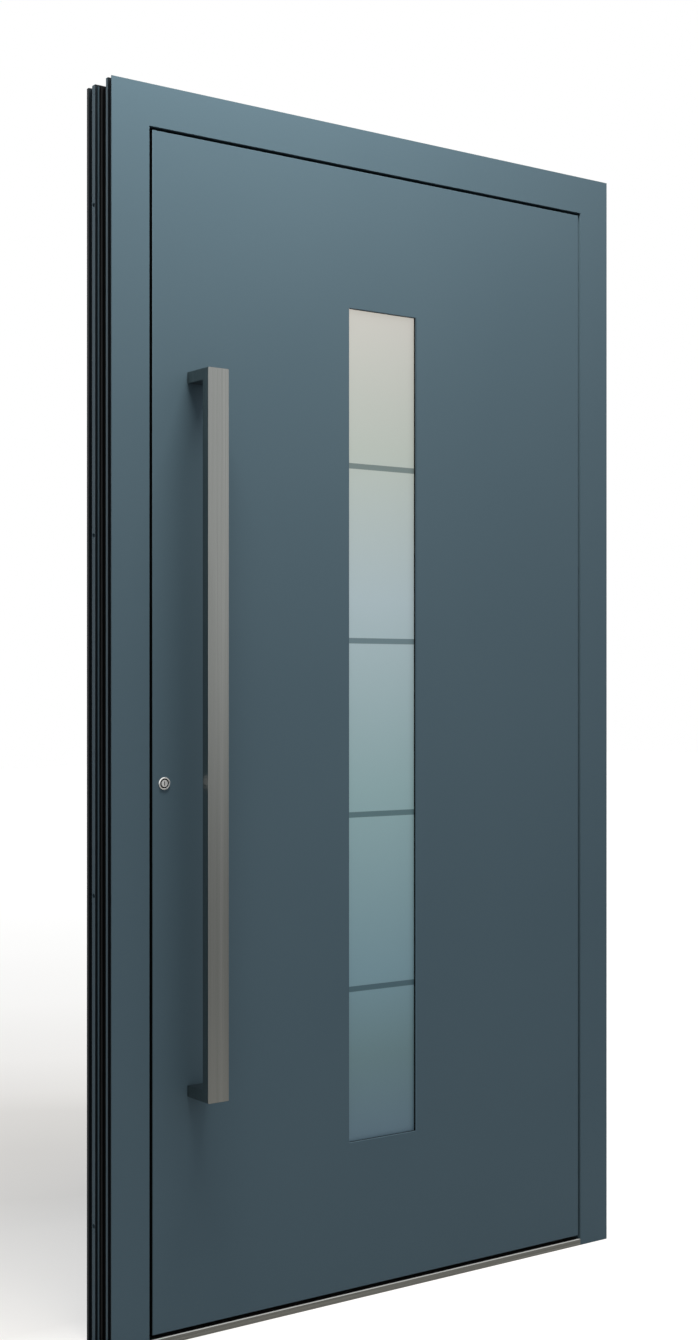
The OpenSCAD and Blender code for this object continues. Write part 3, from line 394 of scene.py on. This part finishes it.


# Threshold and corner cleats: extruded aluminium left bare, with the long lines that the die leaves.
# The two rails clip on to the insulating core, and a painted highlight runs along the nose's upper edge. The
# cleats sit in the mitred corners.
NOSE_CHAMFER = 0.0015
PAINTED_HIGHLIGHT_COLOUR = (0.50, 0.51, 0.49)
line_texture, entry, result = new_group(
    "drawn_lines",
    [("Stretch", "NodeSocketVector", (1.0, 1.0, 1.0))],
    [("Line", "NodeSocketFloat"), ("Broad", "NodeSocketFloat")],
)
place = line_texture.nodes.new("ShaderNodeTexCoord")
stretch = line_texture.nodes.new("ShaderNodeVectorMath")
stretch.operation = "MULTIPLY"
line_texture.links.new(place.outputs["Object"], stretch.inputs[0])
line_texture.links.new(entry.outputs["Stretch"], stretch.inputs[1])
line = line_texture.nodes.new("ShaderNodeTexNoise")
line.inputs["Scale"].default_value = 1.0
line.inputs["Detail"].default_value = 4.0
line.inputs["Roughness"].default_value = 0.65
broad = line_texture.nodes.new("ShaderNodeTexNoise")
broad.inputs["Scale"].default_value = 0.12
broad.inputs["Detail"].default_value = 2.0
for texture in (line, broad):
    line_texture.links.new(stretch.outputs[0], texture.inputs["Vector"])
line_texture.links.new(line.outputs["Fac"], result.inputs["Line"])
line_texture.links.new(broad.outputs["Fac"], result.inputs["Broad"])


def drawn_metal(name, light, dark, roughness, spread, bump, stretch):
    paint, tree, shader = new_finish(name, light, roughness, 1.0)
    texture = tree.nodes.new("ShaderNodeGroup")
    texture.node_tree = line_texture
    texture.inputs["Stretch"].default_value = stretch
    both = tree.nodes.new("ShaderNodeMath")
    both.operation = "MULTIPLY"
    tree.links.new(texture.outputs["Line"], both.inputs[0])
    tree.links.new(texture.outputs["Broad"], both.inputs[1])
    contrast = tree.nodes.new("ShaderNodeMapRange")
    contrast.inputs["From Min"].default_value = 0.08
    contrast.inputs["From Max"].default_value = 0.45
    tree.links.new(both.outputs[0], contrast.inputs["Value"])
    tone = tree.nodes.new("ShaderNodeMix")
    tone.data_type = "RGBA"
    tone.inputs["A"].default_value = (*dark, 1)
    tone.inputs["B"].default_value = (*light, 1)
    tree.links.new(contrast.outputs[0], tone.inputs["Factor"])
    tree.links.new(tone.outputs["Result"], shader.inputs["Base Color"])
    gloss = tree.nodes.new("ShaderNodeMapRange")
    gloss.inputs["To Min"].default_value = roughness + spread
    gloss.inputs["To Max"].default_value = roughness - spread
    tree.links.new(texture.outputs["Line"], gloss.inputs["Value"])
    tree.links.new(gloss.outputs[0], shader.inputs["Roughness"])
    relief = tree.nodes.new("ShaderNodeBump")
    relief.inputs["Strength"].default_value = bump
    relief.inputs["Distance"].default_value = 0.0001
    tree.links.new(texture.outputs["Line"], relief.inputs["Height"])
    tree.links.new(relief.outputs["Normal"], shader.inputs["Normal"])
    return paint


rail_metal = drawn_metal(
    "threshold_aluminium", (0.40, 0.41, 0.39), (0.150, 0.155, 0.147), roughness=0.36, spread=0.08, bump=0.3,
    stretch=(4, 1500, 1500),
)
# Painted highlight: a pale band along the nose's upper edge
nose_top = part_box("threshold_outer_rail")[1].z
painted_highlight = in_range(
    rail_metal.node_tree, object_place(rail_metal)["Z"], nose_top - NOSE_CHAMFER, nose_top + NOSE_CHAMFER,
)
add_zone(rail_metal, painted_highlight, PAINTED_HIGHLIGHT_COLOUR)
dress(rail_metal, "threshold_outer_rail", "threshold_inner_rail", "frame_corner_cleats")


# Strike plates: stainless steel plates let into the lock jamb, each held by two low-headed screws with
# a hexagon socket.
SCREW_R = 0.0042
MERGE_DISTANCE = 1e-6
TO_OUTSIDE = Matrix.Rotation(math.radians(90), 4, "X")
TO_INSIDE = Matrix.Rotation(math.radians(-90), 4, "X")
TO_HINGES = Matrix.Rotation(math.radians(90), 4, "Y")
TO_LOCK = Matrix.Rotation(math.radians(-90), 4, "Y")


def new_piece(name, shape, paint, body):
    mesh = bpy.data.meshes.new(name)
    shape.to_mesh(mesh)
    shape.free()
    mesh.materials.append(paint)
    piece = bpy.data.objects.new(name, mesh)
    bpy.context.collection.objects.link(piece)
    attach(piece, body)
    return piece


def take_in(shape, part):
    mesh = bpy.data.meshes.new("part")
    part.to_mesh(mesh)
    part.free()
    shape.from_mesh(mesh)
    bpy.data.meshes.remove(mesh)


def crease(shape, angle):
    for face in shape.faces:
        face.smooth = True
    for edge in shape.edges:
        edge.smooth = edge.calc_face_angle(0) < math.radians(angle)


def turned(outline, place, turn, steps=48):
    part = bmesh.new()
    points = [part.verts.new((radius, 0, height)) for radius, height in outline]
    edges = [part.edges.new(pair) for pair in zip(points, points[1:])]
    bmesh.ops.spin(
        part, geom=points + edges, cent=(0, 0, 0), axis=(0, 0, 1), angle=math.tau, steps=steps,
        use_merge=True,
    )
    bmesh.ops.remove_doubles(part, verts=part.verts, dist=MERGE_DISTANCE)
    bmesh.ops.recalc_face_normals(part, faces=part.faces)
    bmesh.ops.transform(part, matrix=Matrix.Translation(place) @ turn, verts=part.verts)
    return part


# A turned head whose round socket is drawn in to a hexagon
def add_socket_head(shape, outline, socket, place, turn):
    head = turned(outline, (0, 0, 0), Matrix.Identity(4), 24)
    for corner in head.verts:
        reach = corner.co.xy.length
        if 0 < reach < socket * 1.01:
            beside = math.atan2(corner.co.y, corner.co.x) % math.radians(60) - math.radians(30)
            corner.co.xy *= math.cos(math.radians(30)) / math.cos(beside)
    crease(head, 35)
    bmesh.ops.transform(head, matrix=Matrix.Translation(place) @ turn, verts=head.verts)
    take_in(shape, head)


def add_screw(shape, place, turn, radius):
    sunk = -radius * 0.2
    proud = radius * 0.22
    socket = radius * 0.5
    socket_floor = radius * 0.03
    outline = [
        (0.0, sunk), (radius, sunk), (radius, 0.0), (radius * 0.96, proud * 0.6),
        (radius * 0.86, proud * 0.92), (radius * 0.72, proud), (socket, proud), (socket, socket_floor),
        (0.0, socket_floor),
    ]
    add_socket_head(shape, outline, socket, place, turn)


fitting_steel = drawn_metal(
    "satin_fitting_steel", (0.42, 0.425, 0.415), (0.32, 0.325, 0.318), roughness=0.3, spread=0.06, bump=0.2,
    stretch=(900, 900, 12),
)
dress(fitting_steel, "strike_plate_main", "strike_plates_auxiliary")

AUX_STRIKE_H = 0.080
STRIKE_SCREW_SET = 0.008
main_low, main_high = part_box("strike_plate_main")
aux_low, aux_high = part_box("strike_plates_auxiliary")
strike_middle = (main_low.y + main_high.y) / 2
shape = bmesh.new()
for low, high in (
    (main_low.z, main_high.z), (aux_low.z, aux_low.z + AUX_STRIKE_H), (aux_high.z - AUX_STRIKE_H, aux_high.z),
):
    for height in (low + STRIKE_SCREW_SET, high - STRIKE_SCREW_SET):
        add_screw(shape, (main_high.x, strike_middle, height), TO_HINGES, SCREW_R)
new_piece("strike_screws", shape, fitting_steel, "frame")


# Hinges: three stainless steel hinges on the room side. Each has a wing on the jamb with two knuckles,
# a wing on the leaf with one, a headed pin, and three screws in each wing.
HINGES = ("lower", "middle", "upper")
WING_SCREW_PITCH = 0.042
WING_SCREW_SET = 0.0135
WING_T = 0.006
WING_SCREW_R = 0.0055
for height in HINGES:
    dress(fitting_steel, f"hinge_{height}_frame_wing", f"hinge_{height}_leaf_wing")
dress(fitting_steel, "hinge_pins")
frame_screws, leaf_screws = bmesh.new(), bmesh.new()
for height in HINGES:
    low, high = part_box(f"hinge_{height}_frame_wing")
    leaf_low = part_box(f"hinge_{height}_leaf_wing")[0]
    for step in (-1, 0, 1):
        level_z = (low.z + high.z) / 2 + step * WING_SCREW_PITCH
        face_y = low.y + WING_T
        add_screw(frame_screws, (high.x - WING_SCREW_SET, face_y, level_z), TO_INSIDE, WING_SCREW_R)
        add_screw(leaf_screws, (leaf_low.x + WING_SCREW_SET, face_y, level_z), TO_INSIDE, WING_SCREW_R)
new_piece("hinge_frame_screws", frame_screws, fitting_steel, "frame")
new_piece("hinge_leaf_screws", leaf_screws, fitting_steel, "leaf")


# Leaf: a flat aluminium skin on each side of a rigid foam board, glued to the leaf's profiles. The outer
# skin's edges are rolled over a little; its rim and the outer profiles are coated black, which also paints
# the shade of the gap.
EDGE_R = 0.0008
RIM = 0.0002
WINDOW_W = 0.150
WINDOW_RISE, WINDOW_DROP = 0.262, 0.248
NOSE_HOLE_R = 0.0085
NEAR = 1e-5
leaf_coat = grained(
    "leaf_coat", COAT_LIGHT, COAT_DARK, roughness=0.48, spread=0.05, bump=0.25, grain_scale=900,
    cloud_scale=2.5, sheen=0.15,
)
dress(
    leaf_coat,
    "leaf_inner_skin", "leaf_lock_stile_inner", "leaf_hinge_stile_inner", "leaf_top_rail_inner",
    "leaf_bottom_rail_inner", "window_inner_trim",
)
# A black coat for the leaf's outer profiles, which also stands in as painted shade in the gap round the leaf
black_coat_and_gap_shade = grained(
    "black_coat_and_gap_shade", (0.010, 0.011, 0.012), (0.006, 0.007, 0.008), roughness=0.6, spread=0.05, bump=0.25,
    grain_scale=900, cloud_scale=3, sheen=0.03,
)
dress(
    black_coat_and_gap_shade,
    "leaf_lock_stile_outer", "leaf_hinge_stile_outer", "leaf_top_rail_outer", "leaf_bottom_rail_outer",
)
foam = grained(
    "rigid_foam", (0.80, 0.74, 0.60), (0.72, 0.66, 0.52), roughness=0.85, spread=0.05, bump=0.8,
    grain_scale=700, cloud_scale=20, sheen=0.2,
)
dress(foam, "leaf_core")


def add_loop(shape, corners):
    points = [shape.verts.new(corner) for corner in corners]
    for start, end in zip(points, points[1:] + points[:1]):
        shape.edges.new((start, end))


def rectangle(low, high, depth):
    return [(low.x, depth, low.z), (high.x, depth, low.z), (high.x, depth, high.z), (low.x, depth, high.z)]


def only(items, kind):
    return [item for item in items if isinstance(item, kind)]


skin_low, skin_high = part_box("leaf_outer_skin")
window_low = Vector((-WINDOW_W / 2, 0, skin_low.z + WINDOW_RISE))
window_high = Vector((WINDOW_W / 2, 0, skin_high.z - WINDOW_DROP))
ring_low, ring_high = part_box("cylinder_outer_ring")
ring_centre = (ring_low + ring_high) / 2
shape = bmesh.new()
add_loop(shape, rectangle(skin_low, skin_high, skin_low.y))
add_loop(shape, rectangle(window_low, window_high, skin_low.y))
bmesh.ops.create_circle(
    shape, segments=40, radius=NOSE_HOLE_R,
    matrix=Matrix.Translation((ring_centre.x, skin_low.y, ring_centre.z)) @ TO_OUTSIDE,
)
bmesh.ops.triangle_fill(shape, edges=shape.edges[:], use_beauty=True)
bmesh.ops.dissolve_limit(
    shape, angle_limit=math.radians(1), verts=shape.verts[:],
    edges=[edge for edge in shape.edges if not edge.is_boundary],
)
back = bmesh.ops.extrude_face_region(shape, geom=shape.faces[:])["geom"]
bmesh.ops.translate(
    shape, verts=only(back, bmesh.types.BMVert), vec=(0, skin_high.y - skin_low.y, 0),
)
bmesh.ops.recalc_face_normals(shape, faces=shape.faces)
front_edges = [
    edge for edge in shape.edges
    if edge.calc_face_angle(0) > math.radians(60) and all(end.co.y < skin_low.y + NEAR for end in edge.verts)
]
rolled = bmesh.ops.bevel(
    shape, geom=front_edges, offset=EDGE_R, affect="EDGES", segments=3, profile=0.5, material=-1,
)
rolled_faces = set(rolled["faces"])
for face in rolled_faces:
    face.smooth = True
# Painted shade: the sheet's rim faces take the black coat, so the gap round the leaf reads dark
for face in shape.faces:
    middle = face.calc_center_median()
    at_rim = abs(middle.x) > skin_high.x - RIM or not skin_low.z + RIM < middle.z < skin_high.z - RIM
    if at_rim and face not in rolled_faces:
        face.material_index = 1
sheet = new_piece("leaf_outer_sheet", shape, leaf_coat, "leaf")
sheet.data.materials.append(black_coat_and_gap_shade)
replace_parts(sheet, "leaf_outer_skin")


# Glazing: three panes with spacers between them. The outer one is satin-etched, with a tint and painted light
# running from pale grey at the top to darker blue-green below, and four darker level stripes; the other two
# are clear.
STRIPE_HEIGHTS = (0.555, 0.868, 1.181, 1.495)
STRIPE_H = 0.010
STRIPE_SHADE = (0.36, 0.42, 0.44)
TINT_AND_PAINTED_LIGHT_LOWEST, TINT_AND_PAINTED_LIGHT_HIGHEST = (0.146, 0.248, 0.333), (0.50, 0.523, 0.522)
TINT_AND_PAINTED_LIGHT_BETWEEN = (
    (0.10, (0.174, 0.299, 0.349)), (0.20, (0.233, 0.40, 0.489)), (0.42, (0.337, 0.531, 0.588)),
    (0.65, (0.467, 0.612, 0.694)), (0.83, (0.481, 0.564, 0.55)),
)
clear_glass, tree, shader = new_finish("clear_glass", (0.93, 0.965, 0.955), 0.02)
shader.inputs["Transmission Weight"].default_value = 1.0
shader.inputs["IOR"].default_value = 1.52
dress(clear_glass, "glass_middle_pane", "glass_inner_pane")

etched, tree, shader = new_finish("etched_glass", (0.4, 0.5, 0.5), 0.3)
shader.inputs["Transmission Weight"].default_value = 0.1
shader.inputs["IOR"].default_value = 1.45
level_z = object_place(etched)["Z"]
# Painted light: the pane's colour is lighter towards the top, as if lit from above
fade = tree.nodes.new("ShaderNodeMapRange")
fade.inputs["From Min"].default_value = window_low.z
fade.inputs["From Max"].default_value = window_high.z
tree.links.new(level_z, fade.inputs["Value"])
tint_and_painted_light = tree.nodes.new("ShaderNodeValToRGB")
stops = tint_and_painted_light.color_ramp.elements
stops[0].color = (*TINT_AND_PAINTED_LIGHT_LOWEST, 1)
stops[1].color = (*TINT_AND_PAINTED_LIGHT_HIGHEST, 1)
for way, colour in TINT_AND_PAINTED_LIGHT_BETWEEN:
    stops.new(way).color = (*colour, 1)
tree.links.new(fade.outputs[0], tint_and_painted_light.inputs["Fac"])
stripes = 0.0
for stripe_z in STRIPE_HEIGHTS:
    stripe = in_range(tree, level_z, stripe_z - STRIPE_H / 2, stripe_z + STRIPE_H / 2)
    stripes = add_math(tree, "MAXIMUM", stripes, stripe)
shade = tree.nodes.new("ShaderNodeMix")
shade.data_type = "RGBA"
shade.blend_type = "MULTIPLY"
shade.inputs["B"].default_value = (*STRIPE_SHADE, 1)
tree.links.new(stripes, shade.inputs["Factor"])
tree.links.new(tint_and_painted_light.outputs["Color"], shade.inputs["A"])
tree.links.new(shade.outputs["Result"], shader.inputs["Base Color"])
dress(etched, "glass_outer_pane")

# The lamp shines past the window's edge and its seal, so no hard shadow of the reveal lies on the pane.
open_edges = bpy.data.collections.new("lamp_shines_past")
open_edges.objects.link(sheet)
open_edges.objects.link(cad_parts["glazing_seals"])
lamp.light_linking.blocker_collection = open_edges
for shone_past in open_edges.collection_objects:
    shone_past.light_linking.link_state = "EXCLUDE"


# Pull handle: a long rectangular bar of brushed stainless steel, welded to two posts of the same section
# and ground flush. Through bolts with socket heads hold it from inside, on thin rubber gaskets.
POST_H = 0.020
BAR_EDGE_R = 0.0018
GASKET_T = 0.001
GASKET_SET = 0.0006
GASKET_EDGE_R = 0.0002
BOLT_R, BOLT_SOCKET = 0.005, 0.004
HEAD_ROUND = 0.0015
bar_steel = drawn_metal(
    "brushed_bar_steel", (0.345, 0.356, 0.343), (0.256, 0.267, 0.256), roughness=0.25, spread=0.05, bump=0.25,
    stretch=(1400, 1400, 5),
)


def new_block(low, high):
    block = bmesh.new()
    bmesh.ops.create_cube(block, size=1.0)
    bmesh.ops.scale(block, verts=block.verts, vec=Vector(high) - Vector(low))
    bmesh.ops.translate(block, verts=block.verts, vec=(Vector(high) + Vector(low)) / 2)
    return block


def round_edges(shape, radius):
    sharp = [edge for edge in shape.edges if edge.calc_face_angle(0) > math.radians(30)]
    rounded = bmesh.ops.bevel(
        shape, geom=sharp, offset=radius, affect="EDGES", segments=3, profile=0.5, material=-1,
    )
    for face in rounded["faces"]:
        face.smooth = True


bar_low, bar_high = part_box("pull_bar")
post_low, post_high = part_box("pull_posts")
shape = new_block(bar_low, bar_high)
post_levels = (bar_low.z + POST_H, bar_high.z - POST_H)
for level_z in post_levels:
    bmesh.ops.bisect_plane(
        shape, geom=shape.verts[:] + shape.edges[:] + shape.faces[:], plane_co=(0, 0, level_z),
        plane_no=(0, 0, 1),
    )
ends = [
    face for face in shape.faces
    if face.normal.y > 0.9 and not post_levels[0] < face.calc_center_median().z < post_levels[1]
]
drawn = bmesh.ops.extrude_discrete_faces(shape, faces=ends)["faces"]
bmesh.ops.translate(
    shape, verts=list({corner for face in drawn for corner in face.verts}),
    vec=(0, post_high.y - GASKET_T - bar_high.y, 0),
)
round_edges(shape, BAR_EDGE_R)
handle = new_piece("pull_handle", shape, bar_steel, "leaf")
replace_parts(handle, "pull_bar", "pull_posts")

shape = bmesh.new()
for base in (post_low.z, post_high.z - POST_H):
    gasket = new_block(
        (post_low.x + GASKET_SET, post_high.y - GASKET_T, base + GASKET_SET),
        (post_high.x - GASKET_SET, post_high.y, base + POST_H - GASKET_SET),
    )
    round_edges(gasket, GASKET_EDGE_R)
    take_in(shape, gasket)
new_piece("pull_post_gaskets", shape, seal_rubber, "leaf")

bolt_low, bolt_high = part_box("pull_bolts")
head_r = (bolt_high.x - bolt_low.x) / 2
head_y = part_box("leaf_inner_skin")[1].y
head_t = bolt_high.y - head_y
socket_floor = head_t * 0.4
shank_end = bolt_low.y - head_y
outline = [
    (0.0, shank_end), (BOLT_R, shank_end), (BOLT_R, 0.0), (head_r, 0.0), (head_r, head_t - HEAD_ROUND),
    (head_r - HEAD_ROUND * 0.3, head_t - HEAD_ROUND * 0.3), (head_r - HEAD_ROUND, head_t),
    (BOLT_SOCKET, head_t), (BOLT_SOCKET, socket_floor), (0.0, socket_floor),
]
shape = bmesh.new()
for level_z in (bolt_low.z + head_r, bolt_high.z - head_r):
    add_socket_head(
        shape, outline, BOLT_SOCKET, ((bolt_low.x + bolt_high.x) / 2, head_y, level_z), TO_INSIDE,
    )
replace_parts(new_piece("pull_bolts_turned", shape, fitting_steel, "leaf"), "pull_bolts")


# Lock: a multi-point lock behind a long stainless faceplate in the leaf's edge, in folded steel cases.
# The cylinder's nose and its nickelled plug stand back inside a turned ring on the outside; the nose and the
# ring's bore are painted dark as the shade of that recess.
NOSE_PAINTED_SHADE = (0.026, 0.026, 0.025)
dress(
    fitting_steel,
    "lock_faceplate", "latch_bolt", "deadbolt", "auxiliary_bolts", "drive_rods", "lever_spindle",
)
case_metal = drawn_metal(
    "case_sheet", (0.55, 0.56, 0.56), (0.42, 0.43, 0.43), roughness=0.4, spread=0.06, bump=0.2,
    stretch=(300, 300, 8),
)
dress(case_metal, "lock_main_case", "lock_auxiliary_cases")
nickel = drawn_metal(
    "nickel_plate", (0.92, 0.92, 0.90), (0.82, 0.82, 0.80), roughness=0.14, spread=0.03, bump=0.1,
    stretch=(500, 500, 500),
)
dress(nickel, "cylinder_plug", "cylinder_thumbturn")
bore_painted_shade = drawn_metal(
    "bore_painted_shade", (0.030, 0.030, 0.029), (0.022, 0.022, 0.021), roughness=0.5, spread=0.04, bump=0.1,
    stretch=(500, 500, 500),
)
housing_metal = drawn_metal(
    "housing_nickel", (0.80, 0.80, 0.78), (0.70, 0.70, 0.68), roughness=0.22, spread=0.04, bump=0.1,
    stretch=(500, 500, 500),
)
# Painted shade: the housing's nose face in the recess is darkened
shaded_nose = in_range(housing_metal.node_tree, object_place(housing_metal)["Y"], skin_low.y, 0.0)
add_zone(housing_metal, shaded_nose, NOSE_PAINTED_SHADE)
dress(housing_metal, "cylinder_housing")

RING_BORE = 0.0083
RING_ROUND = 0.0016
RING_T = 0.0020
RING_CHAMFER = 0.0004
LIP_STEPS = 6
ring_r = (ring_high.x - ring_low.x) / 2
lip = [
    (ring_r - RING_ROUND + RING_ROUND * math.cos(turn), RING_T - RING_ROUND + RING_ROUND * math.sin(turn))
    for turn in (math.radians(90 * step / LIP_STEPS) for step in range(LIP_STEPS + 1))
]
shape = turned(
    [(RING_BORE, 0.0), (ring_r, 0.0)] + lip
    + [(RING_BORE + RING_CHAMFER, RING_T), (RING_BORE, RING_T - RING_CHAMFER), (RING_BORE, 0.0)],
    (ring_centre.x, ring_high.y, ring_centre.z), TO_OUTSIDE, 64,
)
crease(shape, 40)
# Painted shade: the ring's bore faces take the dark finish
for face in shape.faces:
    middle = face.calc_center_median()
    if math.hypot(middle.x - ring_centre.x, middle.z - ring_centre.z) < RING_BORE:
        face.material_index = 1
ring = new_piece("cylinder_ring_turned", shape, nickel, "leaf")
ring.data.materials.append(bore_painted_shade)
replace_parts(ring, "cylinder_outer_ring")

FACEPLATE_SCREW_SET = 0.012
plate_low, plate_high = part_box("lock_faceplate")
main_case_low, main_case_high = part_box("lock_main_case")
shape = bmesh.new()
for height in (
    plate_low.z + FACEPLATE_SCREW_SET, main_case_low.z + FACEPLATE_SCREW_SET,
    main_case_high.z + FACEPLATE_SCREW_SET, plate_high.z - FACEPLATE_SCREW_SET,
):
    add_screw(shape, (plate_low.x, (plate_low.y + plate_high.y) / 2, height), TO_LOCK, SCREW_R)
new_piece("faceplate_screws", shape, fitting_steel, "leaf")


# Lever and roses: a bent round stainless bar on a square spindle, with a turned rose behind it and one
# round the cylinder, both snapped over plates that are bolted through the leaf.
LEVER_BEND_R = 0.018
LEVER_END_R = 0.0025
BEND_STEPS = 14
lever_low, lever_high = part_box("lever_handle")
lever_r = (lever_high.z - lever_low.z) / 2
lever_start = Vector((lever_low.x + lever_r, lever_low.y, (lever_low.z + lever_high.z) / 2))
bend_y = lever_high.y - lever_r - LEVER_BEND_R
shape = bmesh.new()
bmesh.ops.create_circle(
    shape, cap_ends=True, segments=48, radius=lever_r, matrix=Matrix.Translation(lever_start) @ TO_INSIDE,
)
tip = bmesh.ops.extrude_face_region(shape, geom=shape.faces[:])["geom"]
bmesh.ops.translate(
    shape, verts=only(tip, bmesh.types.BMVert), vec=(0, bend_y - lever_start.y, 0),
)
tip = bmesh.ops.spin(
    shape, geom=only(tip, bmesh.types.BMFace), cent=(lever_start.x + LEVER_BEND_R, bend_y, lever_start.z),
    axis=(0, 0, -1), angle=math.radians(90), steps=BEND_STEPS,
)["geom_last"]
tip = bmesh.ops.extrude_face_region(shape, geom=only(tip, bmesh.types.BMFace))["geom"]
bmesh.ops.translate(
    shape, verts=only(tip, bmesh.types.BMVert), vec=(lever_high.x - lever_start.x - LEVER_BEND_R, 0, 0),
)
bmesh.ops.remove_doubles(shape, verts=shape.verts, dist=MERGE_DISTANCE)
# The faces that the steps above left across the bar's inside
walls = [face for face in shape.faces if all(len(edge.link_faces) > 2 for edge in face.edges)]
bmesh.ops.delete(shape, geom=walls, context="FACES_ONLY")
bmesh.ops.recalc_face_normals(shape, faces=shape.faces)
end_rim = [edge for edge in shape.edges if all(end.co.x > lever_high.x - NEAR for end in edge.verts)]
bmesh.ops.bevel(
    shape, geom=end_rim, offset=LEVER_END_R, affect="EDGES", segments=4, profile=0.5, material=-1,
)
crease(shape, 40)
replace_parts(new_piece("lever_bar", shape, fitting_steel, "lever"), "lever_handle")
dress(fitting_steel, "lever_rose", "cylinder_inner_rose")
